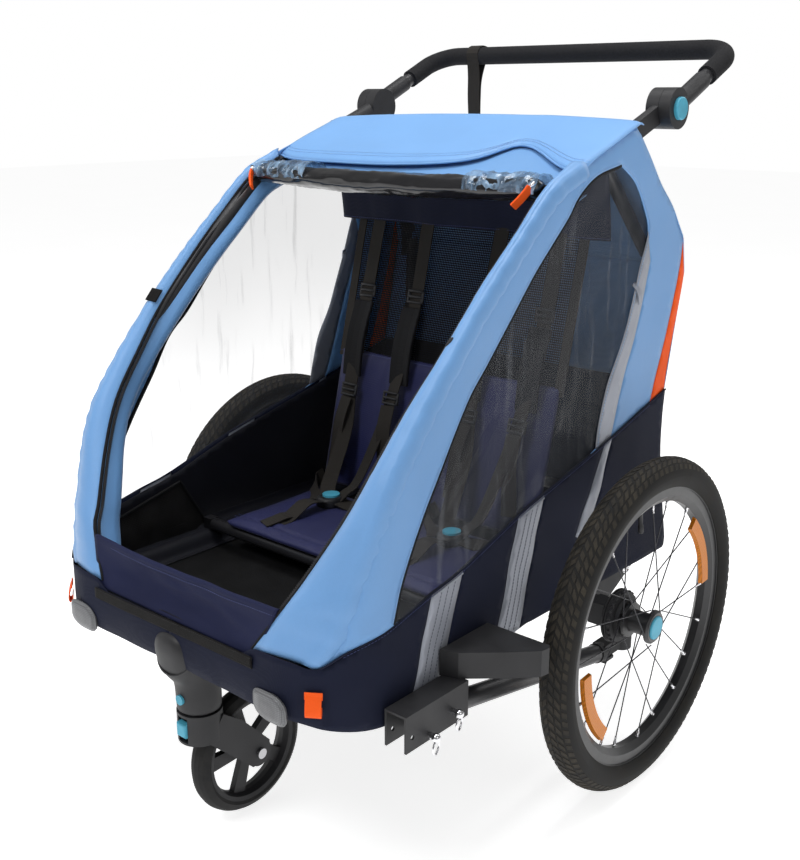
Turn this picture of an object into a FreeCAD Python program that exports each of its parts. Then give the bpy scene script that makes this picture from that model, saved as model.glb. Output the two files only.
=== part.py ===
"""Two-seat child bicycle trailer with a push handle and a swivel front wheel.

Millimetres, +Z up, the nose towards -Y, the tow bar on the +X side. The origin is on the ground
under the middle of the trailer's outer box. Every shape is drawn with the rear axle at y = 0 and
moved to the row frame by AXLE_Y when it is written.
"""

import FreeCAD
import Part
import math
import os
from FreeCAD import Vector

os.makedirs("parts", exist_ok=True)

# ---------------------------------------------------------------- driving dimensions
AXLE_Y = 102.0          # the rear axle's place along Y in the row frame
WHEEL_R = 247.5         # 20 x 1.75 inch tyre
TYRE_R = 23.5           # radius of the tyre's section
TRACK_X = 382.0         # wheel plane, each side of the middle
RIM_OUT = 207.0
RIM_IN = 184.0
SPOKES_PER_FLANGE = 10
SPOKE_R = 0.9
CASTER_R = 95.0
CASTER_AXLE = (-433.0, 95.0)
SWIVEL_Y = -512.0
SWIVEL_Z = 192.0        # joint between the fixed neck and the swivelling fork

SEAT_HALF = 222.0
BODY_X = 294.0          # outer face of the side fabric
CLOTH = 3.0             # thickness of a plain fabric solid
NOSE_Y = -553.0
NOSE_R = 110.0
REAR_Y = 222.0

RAIL_Z = 294.0
RAIL_X = 265.0
TUBE_R = 12.5
TUBE_WALL = 1.5
HOOP_X = 276.0
PIN_R = 4.0
RUNNING = 0.05          # radial clearance of a running fit
GAP = 0.4               # clearance between moving faces

NOSE_HINGE = (232.0, -520.0, 318.0)
REAR_HINGE = (238.0, 195.0, 300.0)
KNUCKLE = (163.1, 966.1)
KNUCKLE_R = 29.0
HOOP_END = (66.0, 929.0)
UPRIGHT_TOP = 736.0
HANDLE_SLOPE = 24.8     # degrees above the horizontal
HANDLE_X = 289.0
HANDLE_REACH = 205.0    # knuckle axis to the grip bar
HANDLE_TUBE_R = 11.0
GRIP_R = 15.0

# side view of the fabric: roof and front edge from the rear top corner down to the nose
RIDGE = [(60, 944), (-20, 914), (-78, 893), (-137, 868), (-210, 808), (-312, 715), (-379, 644),
         (-438, 572), (-469, 518), (-491, 453), (-511, 390), (-522, 362), (-531, 343)]
REAR_EDGE = [(60, 944), (226, 768), (231, 728), (190, 545)]
SKIRT_TOP = [(-553, 332), (-533, 341), (-504, 364), (-448, 381), (-316, 411), (-99, 472), (190, 545)]
SKIRT_BOTTOM = [(REAR_Y, 274), (-150, 280), (-330, 259), (NOSE_Y, 260)]
SKIRT_REAR = [(190, 545), (190, 441), (204, 372), (216, 330)]
REAR_WALL_Z = 330.0
WINDOW = [(20, 890), (-80, 856), (-182, 758), (-307, 628), (-428, 432), (-441, 386), (-316, 417),
          (-99, 478), (0, 501), (50, 634), (112, 800), (72, 862)]


# ---------------------------------------------------------------- helpers
def vec(x, y, z):
    return Vector(float(x), float(y), float(z))


def box(x0, x1, y0, y1, z0, z1):
    return Part.makeBox(x1 - x0, y1 - y0, z1 - z0, vec(x0, y0, z0))


def cyl_x(x0, x1, y, z, r):
    return Part.makeCylinder(r, x1 - x0, vec(x0, y, z), vec(1, 0, 0))


def cyl_y(x, y0, y1, z, r):
    return Part.makeCylinder(r, y1 - y0, vec(x, y0, z), vec(0, 1, 0))


def cyl_z(x, y, z0, z1, r):
    return Part.makeCylinder(r, z1 - z0, vec(x, y, z0), vec(0, 0, 1))


def rod(p, q, r):
    d = q - p
    return Part.makeCylinder(r, d.Length, p, d)


def pipe_piece(p, q, r, wall=TUBE_WALL):
    return rod(p, q, r).cut(rod(p, q, r - wall))


def mirrored(shape):
    return shape.mirror(vec(0, 0, 0), vec(1, 0, 0))


def group(*shapes):
    solids = []
    for s in shapes:
        solids.extend(s.Solids)
    return Part.makeCompound(solids)


def pair(shape):
    """The shape on the +X side and its mirror image."""
    return group(shape, mirrored(shape))


def side_prism(points, x0, x1):
    """A closed outline in the side view (y, z), carried along X."""
    ring = [vec(x0, y, z) for y, z in points]
    face = Part.Face(Part.makePolygon(ring + ring[:1]))
    return face.extrude(vec(x1 - x0, 0, 0))


def plan_prism(points, z0, z1):
    ring = [vec(x, y, z0) for x, y in points]
    face = Part.Face(Part.makePolygon(ring + ring[:1]))
    return face.extrude(vec(0, 0, z1 - z0))


def ring_x(profile, y, z):
    """A closed (x, radius) outline turned about the X axis through (y, z)."""
    ring = [vec(x, y, z + r) for x, r in profile]
    face = Part.Face(Part.makePolygon(ring + ring[:1]))
    return face.revolve(vec(0, y, z), vec(1, 0, 0), 360)


def rounded_wire(points, radius):
    """Straight runs through the points, joined by tangent arcs of one radius."""
    edges = []
    start = points[0]
    for i in range(1, len(points) - 1):
        back = (points[i - 1] - points[i]).normalize()
        on = (points[i + 1] - points[i]).normalize()
        half = back.getAngle(on) / 2
        cut = radius / math.tan(half)
        a = points[i] + back * cut
        b = points[i] + on * cut
        middle = (back + on).normalize()
        top = points[i] + middle * (radius / math.sin(half) - radius)
        edges.append(Part.makeLine(start, a))
        edges.append(Part.Arc(a, top, b).toShape())
        start = b
    edges.append(Part.makeLine(start, points[-1]))
    return Part.Wire(edges)


def smooth_wire(points):
    curve = Part.BSplineCurve()
    curve.interpolate(points)
    return Part.Wire([curve.toShape()])


def hollow(path, r_out, r_in):
    """A tube of round section along the path."""
    edge = path.OrderedEdges[0]
    start = edge.valueAt(edge.FirstParameter)
    ahead = edge.tangentAt(edge.FirstParameter)
    outer = Part.Face(Part.Wire([Part.makeCircle(r_out, start, ahead)]))
    inner = Part.Face(Part.Wire([Part.makeCircle(r_in, start, ahead)]))
    return path.makePipe(outer).cut(path.makePipe(inner))


def bar_at(y, z, x0, x1, r, wall=TUBE_WALL):
    return cyl_x(x0, x1, y, z, r).cut(cyl_x(x0 - 1, x1 + 1, y, z, r - wall))


def save(name, shape):
    placed = shape.copy()
    placed.translate(vec(0, AXLE_Y, 0))
    solids = placed.Solids
    if not solids or not all(s.isValid() for s in solids):
        raise ValueError(name + " has no valid solid")
    out = solids[0] if len(solids) == 1 else Part.makeCompound(solids)
    out.exportStep("parts/" + name + ".step")
    b = out.optimalBoundingBox(False)
    print("%-24s %2d solid(s)  y %7.1f..%7.1f  z %6.1f..%6.1f" % (
        name, len(solids), b.YMin, b.YMax, b.ZMin, b.ZMax))
    return b


# ---------------------------------------------------------------- base frame
def side_rails():
    y0, y1 = -430.0, 168.0
    return pair(pipe_piece(vec(RAIL_X, y0, RAIL_Z), vec(RAIL_X, y1, RAIL_Z), TUBE_R))


def end_tubes():
    return group(bar_at(-515, RAIL_Z, -205, 205, TUBE_R), bar_at(195, RAIL_Z, -216, 216, TUBE_R))


def clevis_cut(hinge, half_width, reach):
    """Room for a hinge lug and the tube above it, open upwards and to the rear."""
    x, y, z = hinge
    slot = box(x - half_width, x + half_width, y - 14, y + reach, z - 13.5, z + 30)
    return slot


def front_connector():
    """Plastic corner that joins a rail to the front tube and holds the hoop's hinge pin."""
    x, y, z = NOSE_HINGE
    low, high = 280.0, z + 12
    plan = [(205, -532), (258, -532), (281, -490), (281, -430), (250, -430), (250, -470),
            (232, -498), (205, -498)]
    body = plan_prism(plan, low, high)
    corner = cyl_z(BODY_X - NOSE_R, NOSE_Y + NOSE_R, low, high, NOSE_R - CLOTH - 2)
    straight = box(0, BODY_X - CLOTH - 2, NOSE_Y + NOSE_R, 0, low, high)
    body = body.common(corner.fuse(straight))
    body = body.cut(box(150, 300, -470, -400, 307, 400))
    body = body.cut(clevis_cut(NOSE_HINGE, 10 + GAP, 60))
    body = body.cut(box(x - 14, x + 14, y - 16, y + 60, z + 1, z + 40))
    return body.fuse(cyl_x(x - 20, x + 20, y, z, PIN_R))


def rear_connector():
    """Plastic corner at the rear that holds the folding frame's hinge pin."""
    x, y, z = REAR_HINGE
    body = box(216, 279, 168, 214, 280, z + 10)
    body = body.cut(box(x - 10 - GAP, x + 10 + GAP, 168 - 1, 215, z - 13.5, z + 20))
    return body.fuse(cyl_x(x - 20, x + 20, y, z, PIN_R))


def corner_connectors():
    return group(pair(front_connector()), pair(rear_connector()))


def seat_tube():
    """Cross tube inside the seat's front roll, standing on the rails."""
    tube = bar_at(-262, 317, -256, 256, 10)
    foot = box(256.2, 274, -270, -254, 306.7, 327)
    return group(tube, pair(foot))


def axle_beam():
    """Square cross member, with the ears that carry the brake pedal."""
    beam = box(-300, 300, -15, 15, WHEEL_R - 15, WHEEL_R + 15)
    beam = beam.cut(box(-301, 301, -13, 13, WHEEL_R - 13, WHEEL_R + 13))
    ears = box(-27, -22, 15, 50, 226, 254).fuse(box(22, 27, 15, 50, 226, 254))
    return beam.fuse(ears).cut(cyl_x(-40, 40, 40, 240, PIN_R + RUNNING))


def axle_bracket():
    """Block and round housing at the beam's end, bored for the wheel's stub axle."""
    block = box(300, 334, -17, 17, WHEEL_R - 17, WHEEL_R + 17)
    drum = cyl_x(334, 350, 0, WHEEL_R, 38).fuse(cyl_x(350, 357, 0, WHEEL_R, 30))
    teeth = box(357, 359, -4, 4, WHEEL_R + 17, WHEEL_R + 25)
    body = block.fuse(drum)
    for i in range(8):
        tooth = teeth.copy()
        tooth.rotate(vec(0, 0, WHEEL_R), vec(1, 0, 0), 45 * i)
        body = body.fuse(tooth)
    return body.cut(cyl_x(318, 360, 0, WHEEL_R, 6.0 + 0.02))


def axle_gusset():
    outline = [(-55, 305), (150, 305), (160, 279), (72, 234), (16, 234), (16, 262.6),
               (-16, 262.6), (-16, 234), (-42, 234), (-55, 262)]
    return side_prism(outline, 278, 283).cut(cyl_x(277, 284, 132, 286, 4))


def axle_brackets():
    return group(pair(axle_bracket()), pair(axle_gusset()))


def axle_stubs():
    return pair(cyl_x(318.5, 395, 0, WHEEL_R, 6.0))


def floor_mat():
    plan = [(-249, 165), (-249, -440), (-200, -494), (200, -494), (249, -440), (249, 165)]
    return plan_prism(plan, 283, 286)


# ---------------------------------------------------------------- folding frame
def hoop_lug():
    x, y, z = NOSE_HINGE
    lug = cyl_x(x - 10, x + 10, y, z, 11)
    web = rod(vec(x, y, z), vec(x + 5, y + 7, z + 40), 8.5)
    return lug.fuse(web).cut(cyl_x(x - 30, x + 30, y, z, PIN_R + RUNNING))


def side_hoop():
    x, y, z = NOSE_HINGE
    points = [(x + 5, y + 7, z + 40), (x + 21, y + 26, 395), (270, -469, 462), (HOOP_X, -420, 560),
              (HOOP_X, -300, 702), (HOOP_X, -200, 795), (HOOP_X, -128, 851), (HOOP_X, -31, 891),
              (HOOP_X, HOOP_END[0], HOOP_END[1])]
    tube = hollow(smooth_wire([vec(*p) for p in points]), TUBE_R, TUBE_R - TUBE_WALL)
    plug = rod(vec(x + 5, y + 7, z + 40), vec(x + 8.3, y + 11, z + 49), TUBE_R - TUBE_WALL)
    return tube.fuse(hoop_lug()).fuse(plug)


def side_hoops():
    return pair(side_hoop())


def rear_leg():
    """Leg from the rear crossbar down to the upright's top, with the plate that latches beside it."""
    x = REAR_HINGE[0]
    top = vec(x, 40, 919)
    foot = vec(x, 205, 752)
    along = (foot - top).normalize()
    leg = pipe_piece(top + along * 10.3, foot, 10)
    cap = rod(foot - along * 12, foot, 10)
    plate = box(x + 10.4, x + 13.4, 196, 222, 706, 760)
    boss = cyl_x(x, x + 13.4, 205 - 6, 752 + 6, 7)
    return leg.fuse(cap).fuse(plate).fuse(boss)


def hoop_crossbars():
    reach = HOOP_X - TUBE_R
    bars = group(bar_at(-100, 862, -reach, reach, 10), bar_at(40, 919, -reach, reach, 10))
    return group(bars, pair(rear_leg()))


def rear_upright():
    x, y, z = REAR_HINGE
    foot = vec(x, y + 1, z + 20)
    top = vec(x, 211, UPRIGHT_TOP)
    lug = cyl_x(x - 10, x + 10, y, z, 12).fuse(rod(vec(x, y, z), foot + vec(0, 0, 12), 9))
    cap = rod(top - vec(0, 0, 10), top, 9)
    upright = pipe_piece(foot, top, 10).fuse(lug).fuse(cap)
    return upright.cut(cyl_x(x - 30, x + 30, y, z, PIN_R + RUNNING))


def rear_frame():
    x = REAR_HINGE[0]
    return group(pair(rear_upright()), bar_at(197.5, 345, -(x - 10.3), x - 10.3, 9))


# ---------------------------------------------------------------- push handle
def handle_point(x, along):
    a = math.radians(HANDLE_SLOPE)
    return vec(x, KNUCKLE[0] + along * math.cos(a), KNUCKLE[1] + along * math.sin(a))


def knuckle_bases():
    """Outer end of each hoop: collar, sleeve and the inner half of the handle's joint."""
    y, z = KNUCKLE
    centre = vec(HOOP_X, y, z)
    along = (centre - vec(HOOP_X, *HOOP_END)).normalize()
    start = vec(HOOP_X, *HOOP_END) + along * 2.5
    sleeve = rod(start, centre, 14)
    collar = rod(start, start + along * 12, 14.5)
    disc = cyl_x(262, 281.8, y, z, KNUCKLE_R)
    base = sleeve.fuse(collar).fuse(disc)
    base = base.cut(cyl_x(255, 300, y, z, 6 + RUNNING))
    return pair(base.cut(box(281.8, 320, -400, 400, 800, 1100)))


def knuckle_arms():
    """Handle side of each joint: outer disc with its pin, the button's pocket and a sleeve."""
    y, z = KNUCKLE
    disc = cyl_x(282.2, 300, y, z, KNUCKLE_R)
    sleeve = rod(handle_point(HANDLE_X, 0), handle_point(HANDLE_X, 93), 13.5)
    arm = disc.fuse(sleeve.cut(box(200, 282.2, 0, 195, 900, 1100)))
    arm = arm.cut(cyl_x(291.5, 310, y, z, 16 + GAP))
    return pair(arm.fuse(cyl_x(262, 282.5, y, z, 6)))


def knuckle_button():
    y, z = KNUCKLE
    cap = cyl_x(296.5, 306, y, z, 16)
    return cap.makeFillet(2.0, [e for e in cap.Edges if abs(e.BoundBox.XMin - 306) < 0.01
                                and e.Length > 50])


def handle_path(start):
    corner = HANDLE_REACH
    return rounded_wire([handle_point(HANDLE_X, start), handle_point(HANDLE_X, corner),
                         handle_point(-HANDLE_X, corner), handle_point(-HANDLE_X, start)], 46)


def handle_tube():
    return hollow(handle_path(93), HANDLE_TUBE_R, HANDLE_TUBE_R - TUBE_WALL)


def handle_grip():
    return hollow(handle_path(110), GRIP_R, HANDLE_TUBE_R + 0.05)


def wrist_strap():
    """Webbing loop that hangs from the grip bar's left end."""
    y = handle_point(0, HANDLE_REACH).y
    z = handle_point(0, HANDLE_REACH).z
    x0, x1 = -216.0, -191.0
    loop = cyl_x(x0, x1, y, z, GRIP_R + 2.3).cut(cyl_x(x0 - 1, x1 + 1, y, z, GRIP_R + 0.2))
    tail = box(x0, x1, y - GRIP_R - 2.2, y - GRIP_R - 0.2, z - 150, z)
    return loop.fuse(tail)


# ---------------------------------------------------------------- fabric, as plain solids
def nose_plan(offset):
    """Plan outline of the skirt: straight sides, rounded nose corners, square rear corners."""
    half = BODY_X - offset
    front = NOSE_Y + offset
    rear = REAR_Y - offset
    r = NOSE_R - offset
    flat = half - r
    k = math.sqrt(0.5) * r
    edges = [
        Part.makeLine(vec(half, rear, 0), vec(half, front + r, 0)),
        Part.Arc(vec(half, front + r, 0), vec(flat + k, front + r - k, 0), vec(flat, front, 0)).toShape(),
        Part.makeLine(vec(flat, front, 0), vec(-flat, front, 0)),
        Part.Arc(vec(-flat, front, 0), vec(-flat - k, front + r - k, 0), vec(-half, front + r, 0)).toShape(),
        Part.makeLine(vec(-half, front + r, 0), vec(-half, rear, 0)),
        Part.makeLine(vec(-half, rear, 0), vec(half, rear, 0)),
    ]
    return Part.Face(Part.Wire(edges))


def lower_cover():
    """Skirt round the base, open above and below, notched for the front wheel's neck."""
    height = vec(0, 0, 600)
    wall = nose_plan(0).extrude(height).cut(nose_plan(CLOTH).extrude(height))
    outline = [(REAR_Y + 5, REAR_WALL_Z), (REAR_Y + 5, 274), *SKIRT_BOTTOM, (NOSE_Y - 5, 260),
               (NOSE_Y - 5, 332), *SKIRT_TOP, *SKIRT_REAR[1:]]
    return wall.common(side_prism(outline, -320, 320)).cut(box(-36, 36, -600, -500, 200, 318))


def side_panel():
    """Side fabric above the skirt: flat behind the nose, then round the nose's corner."""
    lifted = [(y, z + 1.2) for y, z in SKIRT_TOP[2:]]
    outline = REAR_EDGE[:-1] + lifted[::-1] + RIDGE[-1:0:-1]
    corner_y = NOSE_Y + NOSE_R
    flat = box(BODY_X - CLOTH, BODY_X, corner_y, 300, 300, 1000)
    height = vec(0, 0, 900)
    wall = nose_plan(0).extrude(height).cut(nose_plan(CLOTH).extrude(height))
    bend = wall.common(box(100, 320, NOSE_Y - 5, corner_y, 300, 900))
    sheet = flat.fuse(bend).common(side_prism(outline, 100, 320)).removeSplitter()
    return sheet.cut(side_prism(WINDOW, BODY_X - 20, BODY_X + 10))


def side_panels():
    return pair(side_panel())


def inset(points, gap):
    """The outline drawn in by about the gap, towards its middle."""
    cy = sum(p[0] for p in points) / len(points)
    cz = sum(p[1] for p in points) / len(points)
    out = []
    for y, z in points:
        d = math.hypot(y - cy, z - cz)
        out.append((y + (cy - y) * gap / d, z + (cz - z) * gap / d))
    return out


def side_windows():
    return pair(side_prism(inset(WINDOW, 1.0), BODY_X - CLOTH + 0.8, BODY_X - 0.8))


def strip(points, thick):
    """A sheet below a side-view polyline, as thick as asked, measured square to each run."""
    under = []
    for i, (y, z) in enumerate(points):
        a = points[max(i - 1, 0)]
        b = points[min(i + 1, len(points) - 1)]
        d = math.hypot(b[0] - a[0], b[1] - a[1])
        under.append((y - (b[1] - a[1]) / d * thick, z + (b[0] - a[0]) / d * thick))
    return points + under[::-1]


def roof_panel():
    line = [p for p in RIDGE if p[0] >= -78]
    return side_prism(strip(line, CLOTH), -(BODY_X - CLOTH - 0.5), BODY_X - CLOTH - 0.5)


def rear_panel():
    line = [(66, 937), (226, 768), (230, 728), (227, 548), (226, 318)]
    return side_prism(strip(line, CLOTH), -258, 258)


def rolled_cover():
    """The front rain cover, rolled up and tied under the roof's front edge."""
    return cyl_x(-250, 250, -143, 849, 21)


def seat_cushion():
    slab = box(-SEAT_HALF, SEAT_HALF, -280, -58, 328, 342)
    return slab.fuse(cyl_x(-SEAT_HALF, SEAT_HALF, -280, 335, 7)).removeSplitter()


def seat_back():
    outline = [(-44, 345), (76, 840), (66, 843), (-55, 348)]
    return side_prism(outline, -SEAT_HALF, SEAT_HALF)


def harness_straps():
    """Two shoulder straps and a crotch strap for each seat, off the padding by a few millimetres."""
    straps = []
    run = [(-64, 372), (54, 822), (51, 823), (-67, 373)]
    for seat in (-125, 125):
        for side in (-52, 52):
            straps.append(side_prism(run, seat + side - 12, seat + side + 12))
        straps.append(box(seat - 13, seat + 13, -215, -152, 343, 346))
    return group(*straps)


def buckle_housings():
    parts = []
    for x in (-125, 125):
        body = box(x - 20, x + 20, -150, -100, 344, 360)
        parts.append(body.cut(cyl_z(x, -125, 353, 361, 14 + GAP)))
    return group(*parts)


def buckle_button(x):
    return cyl_z(x, -125, 356.5, 363, 14)


# ---------------------------------------------------------------- nose fittings
def caster_neck_shape():
    neck = cyl_z(0, SWIVEL_Y, SWIVEL_Z + GAP, 240, 30)
    path = smooth_wire([vec(0, SWIVEL_Y, 236), vec(0, -519, 258), vec(0, -541, 281)])
    edge = path.Edges[0]
    ring = Part.Wire([Part.makeCircle(29, edge.valueAt(edge.FirstParameter),
                                      edge.tangentAt(edge.FirstParameter))])
    bend = path.makePipeShell([ring], True, False)
    dome = Part.makeSphere(29.5, vec(0, -541, 281.5))
    clamp = cyl_x(-32, 32, -515, RAIL_Z, 19)
    return neck.fuse(bend).fuse(dome).fuse(clamp)


def caster_bracket():
    body = caster_neck_shape().cut(cyl_x(-60, 60, -515, RAIL_Z, TUBE_R + 0.02))
    body = body.cut(cyl_z(0, SWIVEL_Y, 180, 226, 8 + RUNNING))
    return body.cut(cyl_y(0, -550, -532, 215, 7 + GAP))


def caster_release_button():
    return cyl_y(0, -545.5, -536, 215, 7)


def caster_fork():
    y, z = CASTER_AXLE
    housing = cyl_z(0, SWIVEL_Y, 148, SWIVEL_Z - GAP, 31)
    arm = side_prism([(SWIVEL_Y - 10, 150), (SWIVEL_Y + 16, SWIVEL_Z - 8), (y - 30, 160),
                      (y + 18, 108), (y + 16, 84), (y - 14, 78)], 21, 30)
    arm = arm.fuse(cyl_x(21, 30, y, z, 20))
    body = housing.fuse(arm).fuse(mirrored(arm))
    body = body.cut(cyl_x(-21, 21, y, z, CASTER_R + 6))
    body = body.fuse(cyl_z(0, SWIVEL_Y, 180, 222, 8))
    body = body.cut(cyl_x(-21, 21, y, z, CASTER_R + 6))
    body = body.cut(box(-9.4, 9.4, SWIVEL_Y - 40, SWIVEL_Y - 24, 151, 188))
    return body.cut(cyl_x(-60, 60, y, z, PIN_R + 0.02))


def swivel_lock_tab():
    tab = box(-9, 9, SWIVEL_Y - 34, SWIVEL_Y - 24.4, 160, 180)
    return tab.makeFillet(2.5, [e for e in tab.Edges if abs(e.BoundBox.YMax - (SWIVEL_Y - 34)) < 0.01])


def caster_axle():
    y, z = CASTER_AXLE
    bolt = cyl_x(-33, 30.2, y, z, PIN_R).fuse(cyl_x(30.2, 34.5, y, z, 7.5))
    nut = cyl_x(-36, -30.2, y, z, 7)
    return bolt.fuse(nut)


def caster_tyre():
    y, z = CASTER_AXLE
    k = 17 * math.sqrt(0.5)
    crown = CASTER_R - 17
    profile = [(-15, crown - 1), (-17, crown + 3), (-k, crown + k), (-6.5, CASTER_R - 1.3),
               (0, CASTER_R), (6.5, CASTER_R - 1.3), (k, crown + k), (17, crown + 3), (15, crown - 1)]
    return ring_x(profile, y, z)


def caster_core():
    y, z = CASTER_AXLE
    outer = CASTER_R - 18.2
    rim = ring_x([(-15, outer), (15, outer), (13, outer - 6), (4, outer - 9), (-4, outer - 9),
                  (-13, outer - 6)], y, z)
    hub = cyl_x(-19, 19, y, z, 14)
    core = rim.fuse(hub)
    for i in range(5):
        arm = side_prism([(y - 8, z + 10), (y + 8, z + 10), (y + 11, z + outer - 5),
                          (y - 11, z + outer - 5)], -5, 5)
        arm.rotate(vec(0, y, z), vec(1, 0, 0), 72 * i + 18)
        core = core.fuse(arm)
    return core.cut(cyl_x(-60, 60, y, z, PIN_R + RUNNING))


def front_reflectors():
    lens = box(166, 216, -563, NOSE_Y - 0.4, 265, 301)
    lens = lens.makeFillet(8, [e for e in lens.Edges if abs(e.Length - 9.6) < 0.1])
    return pair(lens)


def wheel_guards():
    x0 = BODY_X + 0.3
    plan = [(x0, -362), (x0, -262), (392, -262), (396, -268), (394, -282), (360, -316), (318, -354)]
    shell = plan_prism(plan, 282, 318)
    inner = plan_prism([(x0 + 3, -357), (x0 + 3, -266), (388, -266), (390, -280), (358, -311),
                        (316, -350)], 281, 314.5)
    return pair(shell.cut(inner))


# ---------------------------------------------------------------- tow bar
BAR_X = 313.0
BAR_SLOPE = -0.198
LOCK_PIN = (-425.0, 240.4)      # passes under the bar's front end
PIVOT_PIN = (-380.0, 253.1)     # passes through the bar
SPARE_HOLE = (-456.0, 251.0)
SPARE_HOLE_R = 3.25


def bar_z(y):
    return PIVOT_PIN[1] + BAR_SLOPE * (y - PIVOT_PIN[0])


def hitch_bracket():
    """Channel under the rail's side that takes the tow bar and its two pins."""
    outer = box(296, 330, -468, -348, 233, 282)
    inner = box(299, 327, -469, -347, 232, 279)
    channel = outer.cut(inner)
    foot = box(262, 297, -428, -366, 249, 254).fuse(box(262, 275, -428, -366, 253, 281.3))
    body = channel.fuse(foot)
    for y, z in (LOCK_PIN, PIVOT_PIN):
        body = body.cut(cyl_x(290, 340, y, z, PIN_R + RUNNING))
    return body.cut(cyl_x(290, 340, *SPARE_HOLE, SPARE_HOLE_R))


def tow_bar():
    body = pipe_piece(vec(BAR_X, -438, bar_z(-438)), vec(BAR_X, -12, bar_z(-12)), 13.5, 2.0)
    return body.cut(cyl_x(290, 340, *PIVOT_PIN, PIN_R + RUNNING))


def tow_socket():
    """End fitting of the bar: a plug with a fork and the coupling's upright pin."""
    y = -12.0
    z = bar_z(y)
    head = rod(vec(BAR_X, y, z), vec(BAR_X, y + 16, z + 16 * BAR_SLOPE), 15)
    z2 = z + 16 * BAR_SLOPE
    ears = box(BAR_X - 11, BAR_X + 11, y + 10, y + 36, z2 - 14, z2 - 9)
    ears = ears.fuse(box(BAR_X - 11, BAR_X + 11, y + 10, y + 36, z2 + 9, z2 + 14))
    return head.fuse(ears).fuse(cyl_z(BAR_X, y + 28, z2 - 14, z2 + 14, PIN_R))


def tow_coupling():
    """Swivelling tongue, bored for the pin of the bicycle's hitch."""
    y = 16.0
    z = bar_z(-12) + 16 * BAR_SLOPE
    tongue = cyl_z(BAR_X, y, z - 8.6, z + 8.6, 9).fuse(box(BAR_X - 9, BAR_X + 9, y, y + 40, z - 8.6, z + 8.6))
    knob = cyl_z(BAR_X, y + 46, z - 12, z + 12, 17)
    body = tongue.fuse(knob)
    body = body.cut(cyl_z(BAR_X, y, z - 40, z + 40, PIN_R + RUNNING))
    return body.cut(cyl_z(BAR_X, y + 46, z - 40, z + 40, 5))


def hitch_pin(y, z):
    pin = cyl_x(290.5, 338, y, z, PIN_R)
    head = Part.makeSphere(6, vec(341, y, z))
    ring = Part.makeTorus(9, 1.4, vec(341, y, z - 13), vec(1, 0.3, 0))
    return pin.fuse(head).fuse(ring)


# ---------------------------------------------------------------- parking brake
def brake_pedal():
    y, z = 40.0, 240.0
    tube = cyl_x(-21.6, 21.6, y, z, 9)
    pad = box(-21.6, 21.6, y + 4, y + 84, z - 6, z + 2)
    tread = box(-30, 30, y + 52, y + 92, z - 8, z + 4)
    pin = cyl_x(-29, 29, y, z, PIN_R)
    return tube.fuse(pad).fuse(tread).fuse(pin)


# ---------------------------------------------------------------- 20 inch wheel, on the +X side
def tyre():
    r0 = WHEEL_R - TYRE_R
    centre = vec(TRACK_X, 0, WHEEL_R + r0)
    outer = Part.Face(Part.Wire([Part.makeCircle(TYRE_R, centre, vec(0, 1, 0))]))
    air = Part.Face(Part.Wire([Part.makeCircle(TYRE_R - 3.2, centre, vec(0, 1, 0))]))
    keep = Part.Face(Part.makePolygon([vec(TRACK_X - 40, 0, WHEEL_R + RIM_OUT + 0.2),
                                       vec(TRACK_X + 40, 0, WHEEL_R + RIM_OUT + 0.2),
                                       vec(TRACK_X + 40, 0, WHEEL_R + 260),
                                       vec(TRACK_X - 40, 0, WHEEL_R + 260),
                                       vec(TRACK_X - 40, 0, WHEEL_R + RIM_OUT + 0.2)]))
    section = outer.cut(air).common(keep)
    return section.Faces[0].revolve(vec(0, 0, WHEEL_R), vec(1, 0, 0), 360)


def rim():
    section = [(-13, RIM_OUT), (-10.5, RIM_OUT), (-10.5, 200), (10.5, 200), (10.5, RIM_OUT),
               (13, RIM_OUT), (13, 193), (6, RIM_IN), (-6, RIM_IN), (-13, 193)]
    return ring_x([(TRACK_X + x, r) for x, r in section], 0, WHEEL_R)


def hub():
    shell = ring_x([(360, 6.6), (360, 26), (364, 26), (366, 17), (394, 17), (396, 25), (400, 25),
                    (403, 22), (403, 18), (395.6, 18), (395.6, 6.6)], 0, WHEEL_R)
    for x in (361, 387):
        shell = shell.cut(cyl_x(x - 2, x + 6, 0, WHEEL_R, 11))
    return shell


def hub_bearings():
    rings = []
    for x in (361, 387):
        ring = cyl_x(x - 1, x + 5.9, 0, WHEEL_R, 10.98)
        rings.append(ring.cut(cyl_x(x - 5, x + 9, 0, WHEEL_R, 6 + RUNNING)))
    return group(*rings)


def spokes():
    """Crossed spokes from both flanges to the rim."""
    wires = []
    step = 360.0 / SPOKES_PER_FLANGE
    for flange_x, rim_x, phase in ((362.6, TRACK_X - 3, 0.0), (398, TRACK_X + 3, step / 2)):
        for i in range(SPOKES_PER_FLANGE):
            a = math.radians(step * i + phase)
            side = 1 if i % 2 else -1
            hub_a = a + side * math.radians(62)
            p = vec(flange_x + side * 2.2, 27.2 * math.cos(hub_a), WHEEL_R + 27.2 * math.sin(hub_a))
            q = vec(rim_x, (RIM_IN - 0.6) * math.cos(a), WHEEL_R + (RIM_IN - 0.6) * math.sin(a))
            wires.append(rod(p, q, SPOKE_R))
    return group(*wires)


def spoke_reflectors():
    """Two amber reflectors that clip on the outer spokes, opposite each other."""
    lens = ring_x([(389, 158), (395, 160), (395, 178), (389, 180)], 0, WHEEL_R)
    span = side_prism([(0, WHEEL_R), (300, WHEEL_R - 118), (300, WHEEL_R + 118)], 380, 400)
    out = []
    for turn in (26, 206):
        part = lens.common(span)
        part.rotate(vec(0, 0, WHEEL_R), vec(1, 0, 0), turn)
        out.append(part)
    return group(*out)


def hub_button():
    cap = cyl_x(399, 405.5, 0, WHEEL_R, 17.5)
    return cap.makeFillet(2.5, [e for e in cap.Edges if abs(e.BoundBox.XMin - 405.5) < 0.01
                                and e.Length > 50])


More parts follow.
